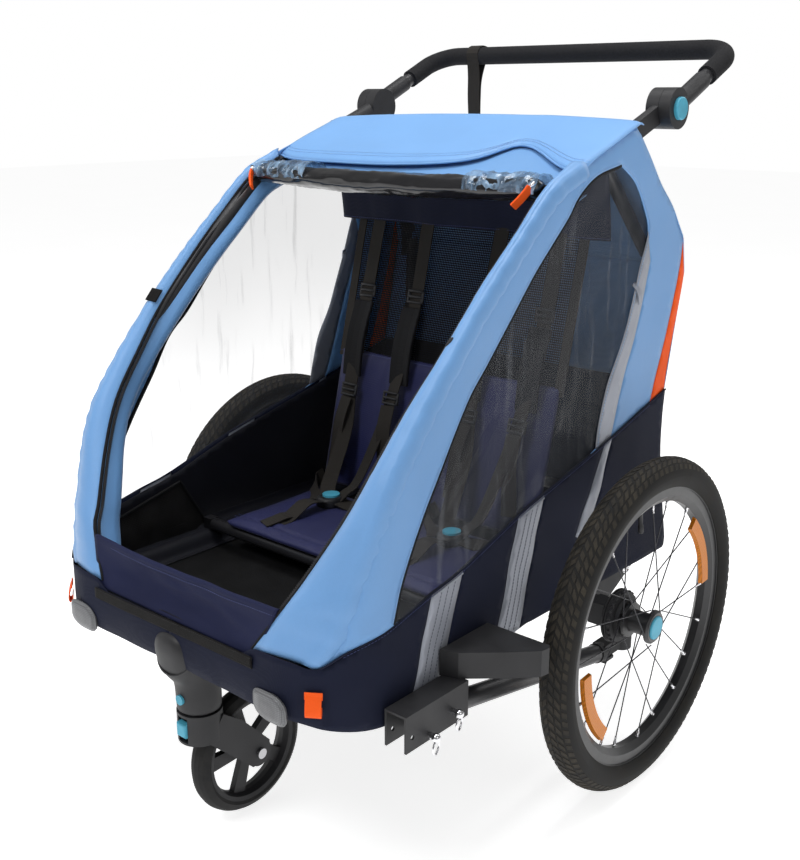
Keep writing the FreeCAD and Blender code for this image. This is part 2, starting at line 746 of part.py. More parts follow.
# ---------------------------------------------------------------- write every node
WHEEL_PARTS = {"tyre": tyre, "rim": rim, "hub": hub, "hub_bearings": hub_bearings,
               "spokes": spokes, "spoke_reflectors": spoke_reflectors, "hub_button": hub_button}

SINGLE_PARTS = [side_rails, end_tubes, corner_connectors, seat_tube, axle_beam,
                axle_brackets, axle_stubs, floor_mat, side_hoops, hoop_crossbars, rear_frame,
                knuckle_bases, knuckle_arms, handle_tube, handle_grip, wrist_strap, lower_cover,
                side_panels, side_windows, roof_panel, rear_panel, rolled_cover, seat_cushion,
                seat_back, harness_straps, buckle_housings, caster_bracket, caster_release_button,
                caster_fork, swivel_lock_tab, caster_axle, caster_tyre, caster_core,
                front_reflectors, wheel_guards, hitch_bracket, tow_bar, tow_socket,
                tow_coupling, brake_pedal]


def main():
    boxes = [save(make.__name__, make()) for make in SINGLE_PARTS]
    boxes.append(save("knuckle_button_right", knuckle_button()))
    boxes.append(save("knuckle_button_left", mirrored(knuckle_button())))
    boxes.append(save("buckle_button_right", buckle_button(125)))
    boxes.append(save("buckle_button_left", buckle_button(-125)))
    boxes.append(save("hitch_pin_front", hitch_pin(*LOCK_PIN)))
    boxes.append(save("hitch_pin_rear", hitch_pin(*PIVOT_PIN)))
    for name, make in WHEEL_PARTS.items():
        right = make()
        boxes.append(save(name + "_right", right))
        boxes.append(save(name + "_left", mirrored(right)))
    low = min(b.YMin for b in boxes)
    high = max(b.YMax for b in boxes)
    print("nodes", len(boxes), "middle of the box along Y: %.2f" % ((low + high) / 2),
          "height %.1f to %.1f" % (min(b.ZMin for b in boxes), max(b.ZMax for b in boxes)))


main()
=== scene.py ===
"""Child bicycle trailer: fabrics, finishes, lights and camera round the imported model.

Metres, the row frame. Places in millimetres are given from the rear axle (y = 0) and moved by AXLE_Y.
"""

import math

import bmesh
import bpy
from mathutils import Matrix, Vector, noise
from mathutils.geometry import delaunay_2d_cdt
from mathutils.kdtree import KDTree


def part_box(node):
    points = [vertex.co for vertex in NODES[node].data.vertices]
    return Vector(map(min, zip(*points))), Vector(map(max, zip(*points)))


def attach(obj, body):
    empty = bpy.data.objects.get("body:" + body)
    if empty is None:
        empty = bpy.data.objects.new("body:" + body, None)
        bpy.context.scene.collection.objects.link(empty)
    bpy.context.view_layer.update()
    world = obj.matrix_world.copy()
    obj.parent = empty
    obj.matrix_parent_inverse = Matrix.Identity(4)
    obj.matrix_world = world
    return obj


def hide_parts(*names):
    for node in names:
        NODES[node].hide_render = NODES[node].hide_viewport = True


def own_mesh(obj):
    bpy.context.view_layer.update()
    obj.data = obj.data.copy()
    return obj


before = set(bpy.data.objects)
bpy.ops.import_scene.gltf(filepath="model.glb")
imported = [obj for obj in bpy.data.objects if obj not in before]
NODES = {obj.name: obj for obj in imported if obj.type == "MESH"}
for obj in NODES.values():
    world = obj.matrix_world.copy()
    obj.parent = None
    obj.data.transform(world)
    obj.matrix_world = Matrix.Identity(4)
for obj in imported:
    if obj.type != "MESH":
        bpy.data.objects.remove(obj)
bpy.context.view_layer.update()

MM = 0.001
AXLE_Y = 0.102          # the rear axle in the row frame
HALF = 293.5            # fabric's half width
NOSE_R = 110.0
NOSE_Y = -553.0
CORNER_Y = NOSE_Y + NOSE_R
FLAT_X = HALF - NOSE_R
QUARTER = NOSE_R * math.pi / 2
TAGS = {1: "right", -1: "left"}


# ------------------------------------------------------------------ small geometry helpers
def pt(x, y, z):
    """A place given in millimetres from the axle, as a point of the row frame."""
    return Vector((x * MM, y * MM + AXLE_Y, z * MM))


def on_side(points, side):
    """The points of the right-hand side, or their mirror on the left."""
    return [Vector((p.x * side, p.y, p.z)) for p in points]


def circle(count, turns=1.0):
    """Angles evenly round a circle."""
    return [2 * math.pi * turns * k / count for k in range(count)]


def smooth(points, step=8.0):
    """A Catmull-Rom curve through 2-D or 3-D points, sampled about every step."""
    pts = [Vector(p) for p in points]
    ends = [pts[0] * 2 - pts[1]] + pts + [pts[-1] * 2 - pts[-2]]
    out = []
    for i in range(1, len(ends) - 2):
        a, b, c, d = ends[i - 1:i + 3]
        n = max(1, round((c - b).length / step))
        for k in range(n):
            t = k / n
            out.append(0.5 * (2 * b + (c - a) * t + (2 * a - 5 * b + 4 * c - d) * t * t
                              + (3 * b - a - 3 * c + d) * t ** 3))
    out.append(pts[-1])
    return out


def straight(points, step=8.0):
    pts = [Vector(p) for p in points]
    out = []
    for b, c in zip(pts, pts[1:]):
        n = max(1, round((c - b).length / step))
        out.extend(b.lerp(c, k / n) for k in range(n))
    out.append(pts[-1])
    return out


def resample(points, count):
    """The polyline with count points, evenly spaced along it."""
    pts = [Vector(p) for p in points]
    dist = [0.0]
    for a, b in zip(pts, pts[1:]):
        dist.append(dist[-1] + (b - a).length)
    out = []
    j = 0
    for i in range(count):
        want = dist[-1] * i / (count - 1)
        while j < len(pts) - 2 and dist[j + 1] < want:
            j += 1
        span = dist[j + 1] - dist[j] or 1.0
        out.append(pts[j].lerp(pts[j + 1], (want - dist[j]) / span))
    return out


def interpolate(table, x):
    """Linear lookup in a short list of (x, value) pairs with rising x."""
    if x <= table[0][0]:
        return table[0][1]
    for (x0, v0), (x1, v1) in zip(table, table[1:]):
        if x <= x1:
            return v0 + (v1 - v0) * (x - x0) / (x1 - x0)
    return table[-1][1]


def ease(x, a, b):
    t = min(1.0, max(0.0, (x - a) / (b - a)))
    return t * t * (3 - 2 * t)


def inside(p, ring):
    hit = False
    j = ring[-1]
    for q in ring:
        if (q[1] > p[1]) != (j[1] > p[1]):
            if p[0] < (j[0] - q[0]) * (p[1] - q[1]) / (j[1] - q[1]) + q[0]:
                hit = not hit
        j = q
    return hit


def rumple(x, y, seed, scale):
    """Soft, seeded noise between about -1 and 1."""
    return noise.noise(Vector((x / scale, y / scale, seed * 7.31)))


def add(name, verts, faces, material, body=None, slot=None, smooth_shade=True, uvs=None):
    """A mesh object from points, with one material."""
    mesh = bpy.data.meshes.new(name)
    mesh.from_pydata([tuple(v) for v in verts], [], faces)
    mesh.validate()
    mesh.update()
    if uvs:
        layer = mesh.uv_layers.new(name="UVMap")
        for loop in mesh.loops:
            layer.data[loop.index].uv = uvs[loop.vertex_index]
    if smooth_shade:
        mesh.shade_smooth()
    obj = bpy.data.objects.new(name, mesh)
    bpy.context.scene.collection.objects.link(obj)
    mesh.materials.append(material)
    if body:
        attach(obj, body)
    return obj


def grid(rows, close_v=False):
    """Quads between equal rows of points."""
    m = len(rows[0])
    faces = []
    for i in range(len(rows) - 1):
        for j in range(m if close_v else m - 1):
            k = (j + 1) % m
            faces.append((i * m + j, i * m + k, (i + 1) * m + k, (i + 1) * m + j))
    return faces


def skin(name, rows, material, body=None, slot=None, flip=False, ends=True, smooth_shade=True):
    """A skin over rings of points, capped at both ends unless told not to; flip turns its faces over."""
    n = len(rows[0])
    verts = [p for row in rows for p in row]
    faces = grid(rows, close_v=True)
    if ends:
        faces.append(tuple(reversed(range(n))))
        faces.append(tuple(range(len(verts) - n, len(verts))))
    if flip:
        faces = [f[::-1] for f in faces]
    return add(name, verts, faces, material, body, slot, smooth_shade)


def add_grid(name, rows, material, body=None, slot=None, **options):
    verts = [p for row in rows for p in row]
    return add(name, verts, grid(rows, **options), material, body, slot)


def modifier(obj, kind, **values):
    mod = obj.modifiers.new(kind.lower(), kind)
    for key, value in values.items():
        setattr(mod, key, value)
    return mod


def thicken(obj, mm, offset=-1.0):
    return modifier(obj, "SOLIDIFY", thickness=mm * MM, offset=offset, use_rim=True)


def apply_all(obj):
    """Turns the object's modifiers into its mesh."""
    deps = bpy.context.evaluated_depsgraph_get()
    mesh = bpy.data.meshes.new_from_object(obj.evaluated_get(deps))
    obj.modifiers.clear()
    obj.data = mesh
    return obj


def mirror_x(obj, name):
    """A mirrored copy, with its faces turned to point out again."""
    copy = obj.copy()
    copy.data = obj.data.copy()
    copy.name = name
    copy.data.transform(Matrix.Scale(-1, 4, (1, 0, 0)))
    copy.data.flip_normals()
    bpy.context.scene.collection.objects.link(copy)
    return copy


def tube_along(name, points, radius, material, body=None, slot=None, sides=10, ends=True):
    """A tube of one radius along a list of points."""
    pts = [Vector(p) for p in points]
    rows = []
    up = Vector((0, 0, 1))
    for i, p in enumerate(pts):
        ahead = (pts[min(i + 1, len(pts) - 1)] - pts[max(i - 1, 0)]).normalized()
        if abs(ahead.dot(up)) > 0.98:
            up = Vector((1, 0, 0))
        side = ahead.cross(up).normalized()
        up = side.cross(ahead).normalized()
        rows.append([p + (side * math.cos(a) + up * math.sin(a)) * radius for a in circle(sides)])
    return skin(name, rows, material, body, slot, flip=True, ends=ends)


def ribbon(name, points, width, thick, across, material, body=None, slot=None, bend=0.0):
    """Flat webbing: width across, thickness along the surface normal, following the points."""
    pts = [Vector(p) for p in points]
    rows = []
    for i, p in enumerate(pts):
        ahead = (pts[min(i + 1, len(pts) - 1)] - pts[max(i - 1, 0)]).normalized()
        a = across[i] if isinstance(across, list) else across
        side = (Vector(a) - ahead * ahead.dot(Vector(a))).normalized()
        up = side.cross(ahead).normalized()
        w, t = width * MM / 2, thick * MM / 2
        profile = [(-w, -t), (-w, t), (-w / 3, t + bend * MM), (w / 3, t + bend * MM), (w, t), (w, -t),
                   (w / 3, -t + bend * MM), (-w / 3, -t + bend * MM)]
        rows.append([p + side * u + up * v for u, v in profile])
    return skin(name, rows, material, body, slot, smooth_shade=False)


def join(name, objs):
    """One object from several, with the materials of all of them."""
    bm = bmesh.new()
    slots = []
    for o in objs:
        mesh = o.data.copy()
        mesh.transform(o.matrix_world)
        for m in mesh.materials:
            if m not in slots:
                slots.append(m)
        remap = [slots.index(m) for m in mesh.materials]
        for poly in mesh.polygons:
            poly.material_index = remap[poly.material_index]
        bm.from_mesh(mesh)
        bpy.data.meshes.remove(mesh)
    out = bpy.data.meshes.new(name)
    bm.to_mesh(out)
    bm.free()
    for m in slots:
        out.materials.append(m)
    for o in objs:
        bpy.data.objects.remove(o)
    obj = bpy.data.objects.new(name, out)
    bpy.context.scene.collection.objects.link(obj)
    return obj


# ------------------------------------------------------------------ materials
class Nodes:
    """A short way to write a material's node tree."""

    def __init__(self, name, color, rough, metal=0.0, **constants):
        self.material = bpy.data.materials.new(name)
        self.material.use_nodes = True
        self.tree = self.material.node_tree
        self.shader = self.tree.nodes["Principled BSDF"]
        self.shader.inputs["Base Color"].default_value = (*color, 1)
        self.shader.inputs["Roughness"].default_value = rough
        self.shader.inputs["Metallic"].default_value = metal
        for key, value in constants.items():
            self.shader.inputs[key.replace("_", " ")].default_value = value
        self.coords = self.node("ShaderNodeTexCoord")
        self.height = None

    def node(self, kind, **props):
        n = self.tree.nodes.new(kind)
        for key, value in props.items():
            if key in n.inputs.keys():
                n.inputs[key].default_value = value
            else:
                setattr(n, key, value)
        return n

    def link(self, a, b):
        self.tree.links.new(a, b)

    def where(self, scale=(1, 1, 1), turn=(0, 0, 0)):
        m = self.node("ShaderNodeMapping")
        m.inputs["Scale"].default_value = scale
        m.inputs["Rotation"].default_value = turn
        self.link(self.coords.outputs["Object"], m.inputs["Vector"])
        return m.outputs["Vector"]

    def noise(self, scale, detail=2.0, rough=0.5, stretch=(1, 1, 1)):
        n = self.node("ShaderNodeTexNoise")
        n.inputs["Scale"].default_value = scale
        n.inputs["Detail"].default_value = detail
        n.inputs["Roughness"].default_value = rough
        self.link(self.where(stretch), n.inputs["Vector"])
        return n.outputs["Fac"]

    def bands(self, pitch, direction="X"):
        """Even bands, one every pitch millimetres."""
        n = self.node("ShaderNodeTexWave", wave_type="BANDS", bands_direction=direction)
        n.inputs["Scale"].default_value = 0.5 / (pitch * MM)
        n.inputs["Distortion"].default_value = 0.0
        self.link(self.where(), n.inputs["Vector"])
        return n.outputs["Fac"]

    def math(self, op, a, b):
        n = self.node("ShaderNodeMath", operation=op)
        for i, value in enumerate((a, b)):
            if isinstance(value, (int, float)):
                n.inputs[i].default_value = value
            else:
                self.link(value, n.inputs[i])
        return n.outputs["Value"]

    def ramp(self, fac, low, high, a=(0, 0, 0), b=(1, 1, 1)):
        n = self.node("ShaderNodeValToRGB")
        e = n.color_ramp.elements
        e[0].position, e[0].color = low, (*a, 1)
        e[1].position, e[1].color = high, (*b, 1)
        self.link(fac, n.inputs["Fac"])
        return n.outputs["Color"]

    def color(self, fac, a, b, low=0.3, high=0.7):
        self.link(self.ramp(fac, low, high, a, b), self.shader.inputs["Base Color"])
        return self

    def roughness(self, fac, a, b):
        n = self.node("ShaderNodeMapRange")
        n.inputs["To Min"].default_value = a
        n.inputs["To Max"].default_value = b
        self.link(fac, n.inputs["Value"])
        self.link(n.outputs["Result"], self.shader.inputs["Roughness"])
        return self

    def bump(self, fac, mm, strength=1.0):
        b = self.node("ShaderNodeBump")
        b.inputs["Distance"].default_value = mm * MM
        b.inputs["Strength"].default_value = strength
        self.link(fac, b.inputs["Height"])
        if self.height:
            self.link(self.height, b.inputs["Normal"])
        self.height = b.outputs["Normal"]
        self.link(self.height, self.shader.inputs["Normal"])
        return self


def srgb(r, g, b):
    """Linear colour from 0 to 255 display values."""
    out = []
    for c in (r, g, b):
        c /= 255
        out.append(c / 12.92 if c <= 0.04045 else ((c + 0.055) / 1.055) ** 2.4)
    return tuple(out)


def tint(color, k):
    return tuple(min(1.0, c * k) for c in color)


def weave(name, color, rough=0.75, pitch=1.1, depth=0.25, sheen=0.25, vary=0.14, plane=("Y", "Z"), gloss=0.4):
    """Woven cloth: threads both ways, slow colour drift and small creases."""
    n = Nodes(name, color, rough, Sheen_Weight=sheen, Sheen_Roughness=0.5, Specular_IOR_Level=gloss)
    threads = n.math("MULTIPLY", n.bands(pitch, plane[0]), n.bands(pitch, plane[1]))
    drift = n.noise(9.0, 3.0)
    fine = n.noise(420.0, 2.0)
    mix = n.math("ADD", n.math("MULTIPLY", drift, 0.55), n.math("MULTIPLY", fine, 0.25))
    mix = n.math("ADD", mix, n.math("MULTIPLY", threads, 0.2))
    n.color(mix, tint(color, 1 - vary), tint(color, 1 + vary), 0.25, 0.75)
    n.roughness(fine, rough - 0.08, rough + 0.08)
    n.bump(n.noise(26.0, 3.0), 1.2, 0.35)
    n.bump(threads, depth, 0.5)
    return n.material


def moulded(name, color, rough=0.5, grain=0.12):
    """Moulded plastic with a fine grain."""
    n = Nodes(name, color, rough, Specular_IOR_Level=0.35)
    speck = n.noise(900.0, 2.0)
    n.color(n.noise(30.0, 3.0), tint(color, 0.85), tint(color, 1.2))
    n.roughness(n.noise(60.0, 3.0), rough - 0.08, rough + 0.1)
    n.bump(speck, grain, 0.35)
    return n.material


def painted(name, color, rough=0.38):
    n = Nodes(name, color, rough, 0.0, Coat_Weight=0.25, Coat_Roughness=0.3)
    n.color(n.noise(20.0, 2.0), tint(color, 0.9), tint(color, 1.15))
    n.roughness(n.noise(80.0, 3.0), rough - 0.06, rough + 0.08)
    n.bump(n.noise(700.0, 1.0), 0.05, 0.25)
    return n.material


def steel(name, color, rough=0.22):
    n = Nodes(name, color, rough, 1.0)
    n.roughness(n.noise(200.0, 3.0, stretch=(1, 8, 1)), rough - 0.06, rough + 0.12)
    n.bump(n.noise(500.0, 2.0), 0.03, 0.2)
    return n.material


BLUE = srgb(108, 158, 212)
NAVY = srgb(19, 24, 45)
M = {
    "blue": weave("blue_weave", BLUE, 0.42, 1.0, 0.16, 0.1, 0.08, gloss=0.5),
    # The roof's blue: the same blue cloth with its threads across the roof, tinted 12% lighter as painted
    # light on the roof's upward face.
    "blue_roof_lit": weave("blue_roof_weave", tint(BLUE, 1.12), 0.45, 1.0, 0.16, 0.1, 0.08, ("X", "Y"),
                       gloss=0.5),
    "navy": weave("navy_weave", NAVY, 0.72, 1.2, 0.25, 0.02, 0.22, gloss=0.15),
    "navy_front": weave("navy_front_weave", srgb(27, 32, 64), 0.66, 1.2, 0.25, 0.03, 0.2, ("X", "Z"),
                        gloss=0.15),
    "seat": weave("seat_weave", srgb(33, 37, 82), 0.46, 1.3, 0.25, 0.08, 0.22, ("X", "Y"), gloss=0.35),
    "lining": weave("lining_weave", srgb(20, 21, 30), 0.6, 1.2, 0.25, 0.02, 0.25, gloss=0.25),
    "orange": weave("orange_weave", srgb(250, 92, 22), 0.6, 1.1, 0.2, 0.0, 0.08, gloss=0.2),
    "webbing": weave("black_webbing", srgb(47, 44, 41), 0.75, 1.6, 0.4, 0.03, 0.3, ("X", "Z"), gloss=0.15),
    "piping": weave("black_piping", srgb(26, 26, 28), 0.7, 1.5, 0.3, 0.02, 0.3, gloss=0.15),
    "fuzz": weave("hook_strip", srgb(30, 29, 29), 0.95, 0.9, 0.6, 0.06, 0.5, ("X", "Z"), gloss=0.05),
    "plastic": moulded("black_plastic", srgb(40, 40, 42)),
    "frame": painted("frame_paint", srgb(36, 36, 39)),
    "cyan": moulded("cyan_plastic", srgb(74, 162, 188), 0.42, 0.06),
    "steel": steel("ground_steel", (0.6, 0.6, 0.62)),
    "chrome": steel("bright_plate", (0.78, 0.78, 0.8), 0.12),
    "spoke": steel("black_spoke", (0.05, 0.05, 0.055), 0.3),
    "rim": painted("black_rim", srgb(26, 26, 28), 0.42),
    "thread": weave("pale_thread", srgb(156, 190, 228), 0.7, 0.6, 0.1, 0.05, 0.1),
    "tape_thread": weave("tape_thread", srgb(96, 98, 108), 0.7, 0.8, 0.1, 0.1, 0.05),
    "navy_thread": weave("navy_thread", srgb(62, 72, 122), 0.6, 0.6, 0.1, 0.05, 0.1),
    "black_thread": weave("black_thread", srgb(16, 16, 17), 0.6, 0.6, 0.1, 0.0, 0.1),
}


def reflective_material():
    """Silver tape of tiny glass beads."""
    color = srgb(150, 154, 164)
    n = Nodes("silver_tape", color, 0.45, 0.35, Sheen_Weight=0.05)
    n.color(n.noise(14.0, 3.0), tint(color, 0.88), tint(color, 1.12))
    n.bump(n.noise(22.0, 3.0), 1.0, 0.3)
    n.bump(n.noise(1500.0, 1.0), 0.05, 0.4)
    return n.material


def foam_material():
    color = srgb(36, 36, 38)
    n = Nodes("foam_grip", color, 0.85, Specular_IOR_Level=0.15)
    pits = n.noise(650.0, 3.0, 0.7)
    # Painted shade: the noise that sinks the pits in the bump also darkens them, and lightens the rims
    # between.
    n.color(pits, tint(color, 0.55), tint(color, 1.5))
    n.bump(pits, 0.35, 0.6)
    return n.material


def rubber_material(name, base, warm):
    n = Nodes(name, base, 0.7, Specular_IOR_Level=0.2)
    dust = n.noise(35.0, 4.0, 0.6)
    n.color(dust, base, warm, 0.35, 0.75)
    n.roughness(dust, 0.6, 0.85)
    n.bump(n.noise(300.0, 3.0), 0.2, 0.3)
    return n.material


def film_material():
    """Clear flexible film: almost invisible; its grey shows a little more in faint upright lines of painted
    highlight, where light would glint off its creases, and in broad patches.
    """
    n = Nodes("clear_film", (0.17, 0.18, 0.2), 0.1, IOR=1.35, Specular_IOR_Level=0.3)
    # Painted highlight: the alpha mask lets the film's grey show in faint upright lines, standing in for
    # light glinting off creases, over broad patches from a slow noise.
    glint_streak = n.noise(34.0, 3.0, 0.55, stretch=(1, 1.9, 0.16))
    broad_patches = n.ramp(n.noise(2.2, 2.0, 0.5), 0.35, 0.7)
    veil = n.math("ADD", n.math("MULTIPLY", n.ramp(glint_streak, 0.55, 0.82), 0.3), n.math("MULTIPLY", broad_patches, 0.1))
    n.link(n.math("ADD", veil, 0.13), n.shader.inputs["Alpha"])
    n.bump(n.noise(12.0, 3.0, 0.5, stretch=(1, 2.0, 0.35)), 3.0, 0.3)
    n.material.surface_render_method = "BLENDED"
    return n.material


def net_material(name, color, pitch, share, turn):
    """Knitted net: diamond holes in a fine grid, cut out by alpha; turn lays the grid in the net's plane."""
    n = Nodes(name, color, 0.75, Specular_IOR_Level=0.1)
    v = n.node("ShaderNodeTexVoronoi", voronoi_dimensions="2D", feature="F1", distance="MANHATTAN")
    v.inputs["Scale"].default_value = 1000.0 / pitch
    v.inputs["Randomness"].default_value = 0.0
    n.link(n.where(turn=turn), v.inputs["Vector"])
    n.color(n.noise(25.0, 3.0), tint(color, 0.7), tint(color, 1.4))
    n.link(n.math("GREATER_THAN", v.outputs["Distance"], share), n.shader.inputs["Alpha"])
    return n.material


def lens_material(name, color):
    """Prism reflector: a fine grid of corner cubes."""
    n = Nodes(name, color, 0.3, IOR=1.5, Specular_IOR_Level=0.35, Coat_Weight=0.12, Coat_Roughness=0.08)
    v = n.node("ShaderNodeTexVoronoi", feature="F1", distance="EUCLIDEAN")
    v.inputs["Scale"].default_value = 420.0
    v.inputs["Randomness"].default_value = 0.05
    n.link(n.where(), v.inputs["Vector"])
    n.color(v.outputs["Distance"], tint(color, 1.2), tint(color, 0.45), 0.1, 0.8)
    n.bump(v.outputs["Distance"], 0.8, 0.9)
    return n.material


def mat_material():
    """Ribbed rubber mat."""
    color = srgb(17, 17, 18)
    n = Nodes("ribbed_mat", color, 0.7, Specular_IOR_Level=0.15)
    n.color(n.noise(18.0, 4.0), tint(color, 0.7), tint(color, 1.7))
    n.bump(n.bands(5.0), 1.5, 0.9)
    return n.material


M["tape"] = reflective_material()
M["foam"] = foam_material()
M["tyre"] = rubber_material("tyre_rubber", srgb(28, 28, 28), srgb(40, 38, 35))
M["tread"] = rubber_material("tread_rubber", srgb(38, 36, 33), srgb(66, 61, 53))
M["caster_tyre"] = rubber_material("caster_rubber", srgb(34, 34, 35), srgb(50, 49, 48))
M["film"] = film_material()
FACING_BACK = (math.pi / 2, 0, 0)
FACING_SIDE = (0, math.pi / 2, 0)
M["net"] = net_material("black_net", srgb(20, 20, 22), 3.4, 0.36, FACING_BACK)
M["pocket_net"] = net_material("pocket_net", srgb(34, 33, 33), 2.6, 0.3, FACING_SIDE)
M["fine_net"] = net_material("fine_net", srgb(22, 23, 28), 2.4, 0.3, FACING_BACK)
M["amber"] = lens_material("amber_lens", srgb(228, 132, 0))
M["clear_lens"] = lens_material("clear_lens", srgb(118, 119, 122))
M["clear_rim"] = moulded("lens_rim", srgb(110, 111, 113), 0.3, 0.03)
M["mat"] = mat_material()


# ------------------------------------------------------------------ body fabric
RIDGE = [(60, 944), (-20, 915), (-78, 894), (-137, 869), (-210, 808), (-279, 747), (-312, 715),
         (-379, 644), (-438, 572), (-469, 518), (-493, 453), (-516, 390), (-531, 362), (-548, 341)]
REAR_UPPER = [(60, 944), (130, 870), (185, 823), (222, 778)]
REAR_LOWER = [(232, 725), (212, 636), (193, 547)]
SKIRT_REAR = [(193, 547), (190, 500), (193, 441), (206, 372), (225, 291), (219, 275)]
SKIRT_TOP = [(-664, 333), (-655, 338), (-640, 347), (-613, 349), (-580, 347), (-548, 342), (-508, 364),
             (-449, 381), (-379, 398), (-316, 411),
             (-198, 448), (-99, 472), (33, 504), (193, 547)]
SKIRT_BOTTOM = [(-800, 276), (-694, 272), (-582, 270), (-533, 262), (-461, 254), (-418, 255),
                (-362, 259), (-190, 281), (-116, 279), (219, 275)]
WINDOW_FRONT = [(22, 892), (-38, 880), (-79, 857), (-102, 831), (-136, 801), (-182, 759), (-226, 713),
                (-270, 665), (-307, 630), (-345, 573), (-394, 500), (-430, 433), (-447, 383)]
WINDOW_REAR = [(22, 892), (62, 868), (97, 828), (112, 796), (96, 750), (79, 703), (50, 634), (19, 582),
               (2, 530), (-5, 496)]
STRIP_REAR = [(123, 752), (106, 690), (70, 600), (36, 507)]
ORANGE = [(223, 777), (214, 726), (182, 622), (160, 565), (148, 534)]


def plan(s, lift=0.0):
    """Place and outward normal on the body's plan outline, s millimetres along it (s = y on the side)."""
    if s >= CORNER_Y:
        return HALF + lift, s, 1.0, 0.0
    turn = (CORNER_Y - s) / NOSE_R
    if turn <= math.pi / 2:
        nx, ny = math.cos(turn), -math.sin(turn)
        return FLAT_X + (NOSE_R + lift) * nx, CORNER_Y + (NOSE_R + lift) * ny, nx, ny
    return FLAT_X - (CORNER_Y - QUARTER - s), NOSE_Y - lift, 0.0, -1.0


def ridge_gap(s, z, ring):
    """Distance from the ridge, in millimetres, for rounding the fabric over the hoop."""
    return min(math.hypot(s - q[0], z - q[1]) for q in ring)


RIDGE_S = smooth(RIDGE, 8)
TOP_S = smooth(SKIRT_TOP, 8)


def side_lift(s, z):
    """How far the upper side fabric stands off its flat outline."""
    d = ridge_gap(s, z, RIDGE_S)
    roll = -7.0 * math.exp(-d / 7.0)
    middle = ease(d, 10, 120) * ease(z, 400, 560) * (1 - ease(z, 800, 900))
    slack = 1.6 * rumple(s + z * 0.6, z - s * 0.6, 3, 85) * ease(d, 15, 60)
    return roll - 3.0 * middle + slack


def window_lift(s, z):
    """Film pulled tight between its edges, with long creases that fan from the corners."""
    base = side_lift(s, z)
    along = (s * 0.72 + z * 0.69)
    across = (s * -0.69 + z * 0.72)
    crease = rumple(along * 0.16, across, 5, 26) * 2.4 + rumple(along * 0.3, across * 1.6, 9, 60) * 3.0
    low = 2.6 * rumple(s, z * 0.25, 12, 24) * (1 - ease(z, 430, 600))
    return base - 2.0 + crease + low


def skirt_lift(s, z):
    """Dark lower fabric: soft folds, tighter where it is sewn on."""
    rear = ease(s, 140, 200)
    top = interpolate([(q[0], q[1]) for q in SKIRT_TOP], s)
    drop = ease(top - z, 0, 60)
    folds = rumple(s * 0.9 + z * 0.55, z * 0.45 - s * 0.2, 21, 55) * 2.4
    folds += rumple(s * 0.3, z * 1.2, 24, 36) * 0.9
    nose = ease(-s, 560, 640)
    sag = nose * 3.5 * math.sin(math.pi * min(1.0, max(0.0, (z - 272) / 60)))
    return drop * folds * (1 - 0.5 * rear) - 1.0 + sag


def to_world(s, z, lift, extra=0.0):
    x, y, nx, ny = plan(s)
    d = lift(s, z) + extra
    return pt(x + nx * d, y + ny * d, z)


def cut_sheet(rings, spacing=9.0):
    """Triangles over nested outlines, edges kept: {name: (points, triangles)}, first match wins."""
    verts, edges = [], []
    for ring in rings.values():
        base = len(verts)
        verts.extend(Vector(q[:2]) for q in ring)
        edges.extend((base + i, base + (i + 1) % len(ring)) for i in range(len(ring)))
    tree = KDTree(len(verts))
    for i, v in enumerate(verts):
        tree.insert((v.x, v.y, 0), i)
    tree.balance()
    xs = [v.x for v in verts]
    ys = [v.y for v in verts]
    row = 0
    y = min(ys)
    while y < max(ys):
        x = min(xs) + (spacing / 2 if row % 2 else 0)
        while x < max(xs):
            if tree.find((x, y, 0))[2] > spacing * 0.62:
                verts.append(Vector((x, y)))
            x += spacing
        y += spacing * 0.866
        row += 1
    co, _, tris, *_ = delaunay_2d_cdt(verts, edges, [], 0, 0.01)
    out = {name: [] for name in rings}
    for tri in tris:
        c = sum((co[i] for i in tri), Vector((0, 0))) / 3
        for name, ring in rings.items():
            if inside(c, ring):
                out[name].append(tuple(tri))
                break
    return {name: (co, found) for name, found in out.items()}


def region(name, co, tris, lift, material, extra=0.0):
    used = {}
    verts, faces, uvs = [], [], []
    for tri in tris:
        a, b, c = (co[i] for i in tri)
        if (b - a).cross(c - a) < 0:
            tri = tri[::-1]
        face = []
        for i in tri:
            if i not in used:
                used[i] = len(verts)
                verts.append(to_world(co[i].x, co[i].y, lift, extra))
                uvs.append((co[i].x * MM, co[i].y * MM))
            face.append(used[i])
        faces.append(face)
    return add(name, verts, faces, material, uvs=uvs)


def upper_regions():
    window = smooth(WINDOW_FRONT, 8) + [q for q in TOP_S if -440 < q.x < -10] + smooth(WINDOW_REAR, 8)[::-1]
    strip = smooth(WINDOW_REAR[3:], 8) + [q for q in TOP_S if 0 < q.x < 34] + smooth(STRIP_REAR, 8)[::-1]
    orange = smooth(ORANGE, 8) + [Vector((150, 536)), Vector((193, 547))] + smooth(REAR_LOWER[::-1], 8)
    outer = RIDGE_S[:-1] + [q for q in TOP_S if q.x >= -548] + smooth(REAR_LOWER[::-1], 8)[1:]
    outer += smooth(REAR_UPPER[::-1], 8)[:-1]
    return cut_sheet({"window": window, "strip": strip, "orange": orange, "blue": outer})


TAPES = {"tape_a": (-376, -315, -362, -418), "tape_b": (-194, -136, -189, -246)}


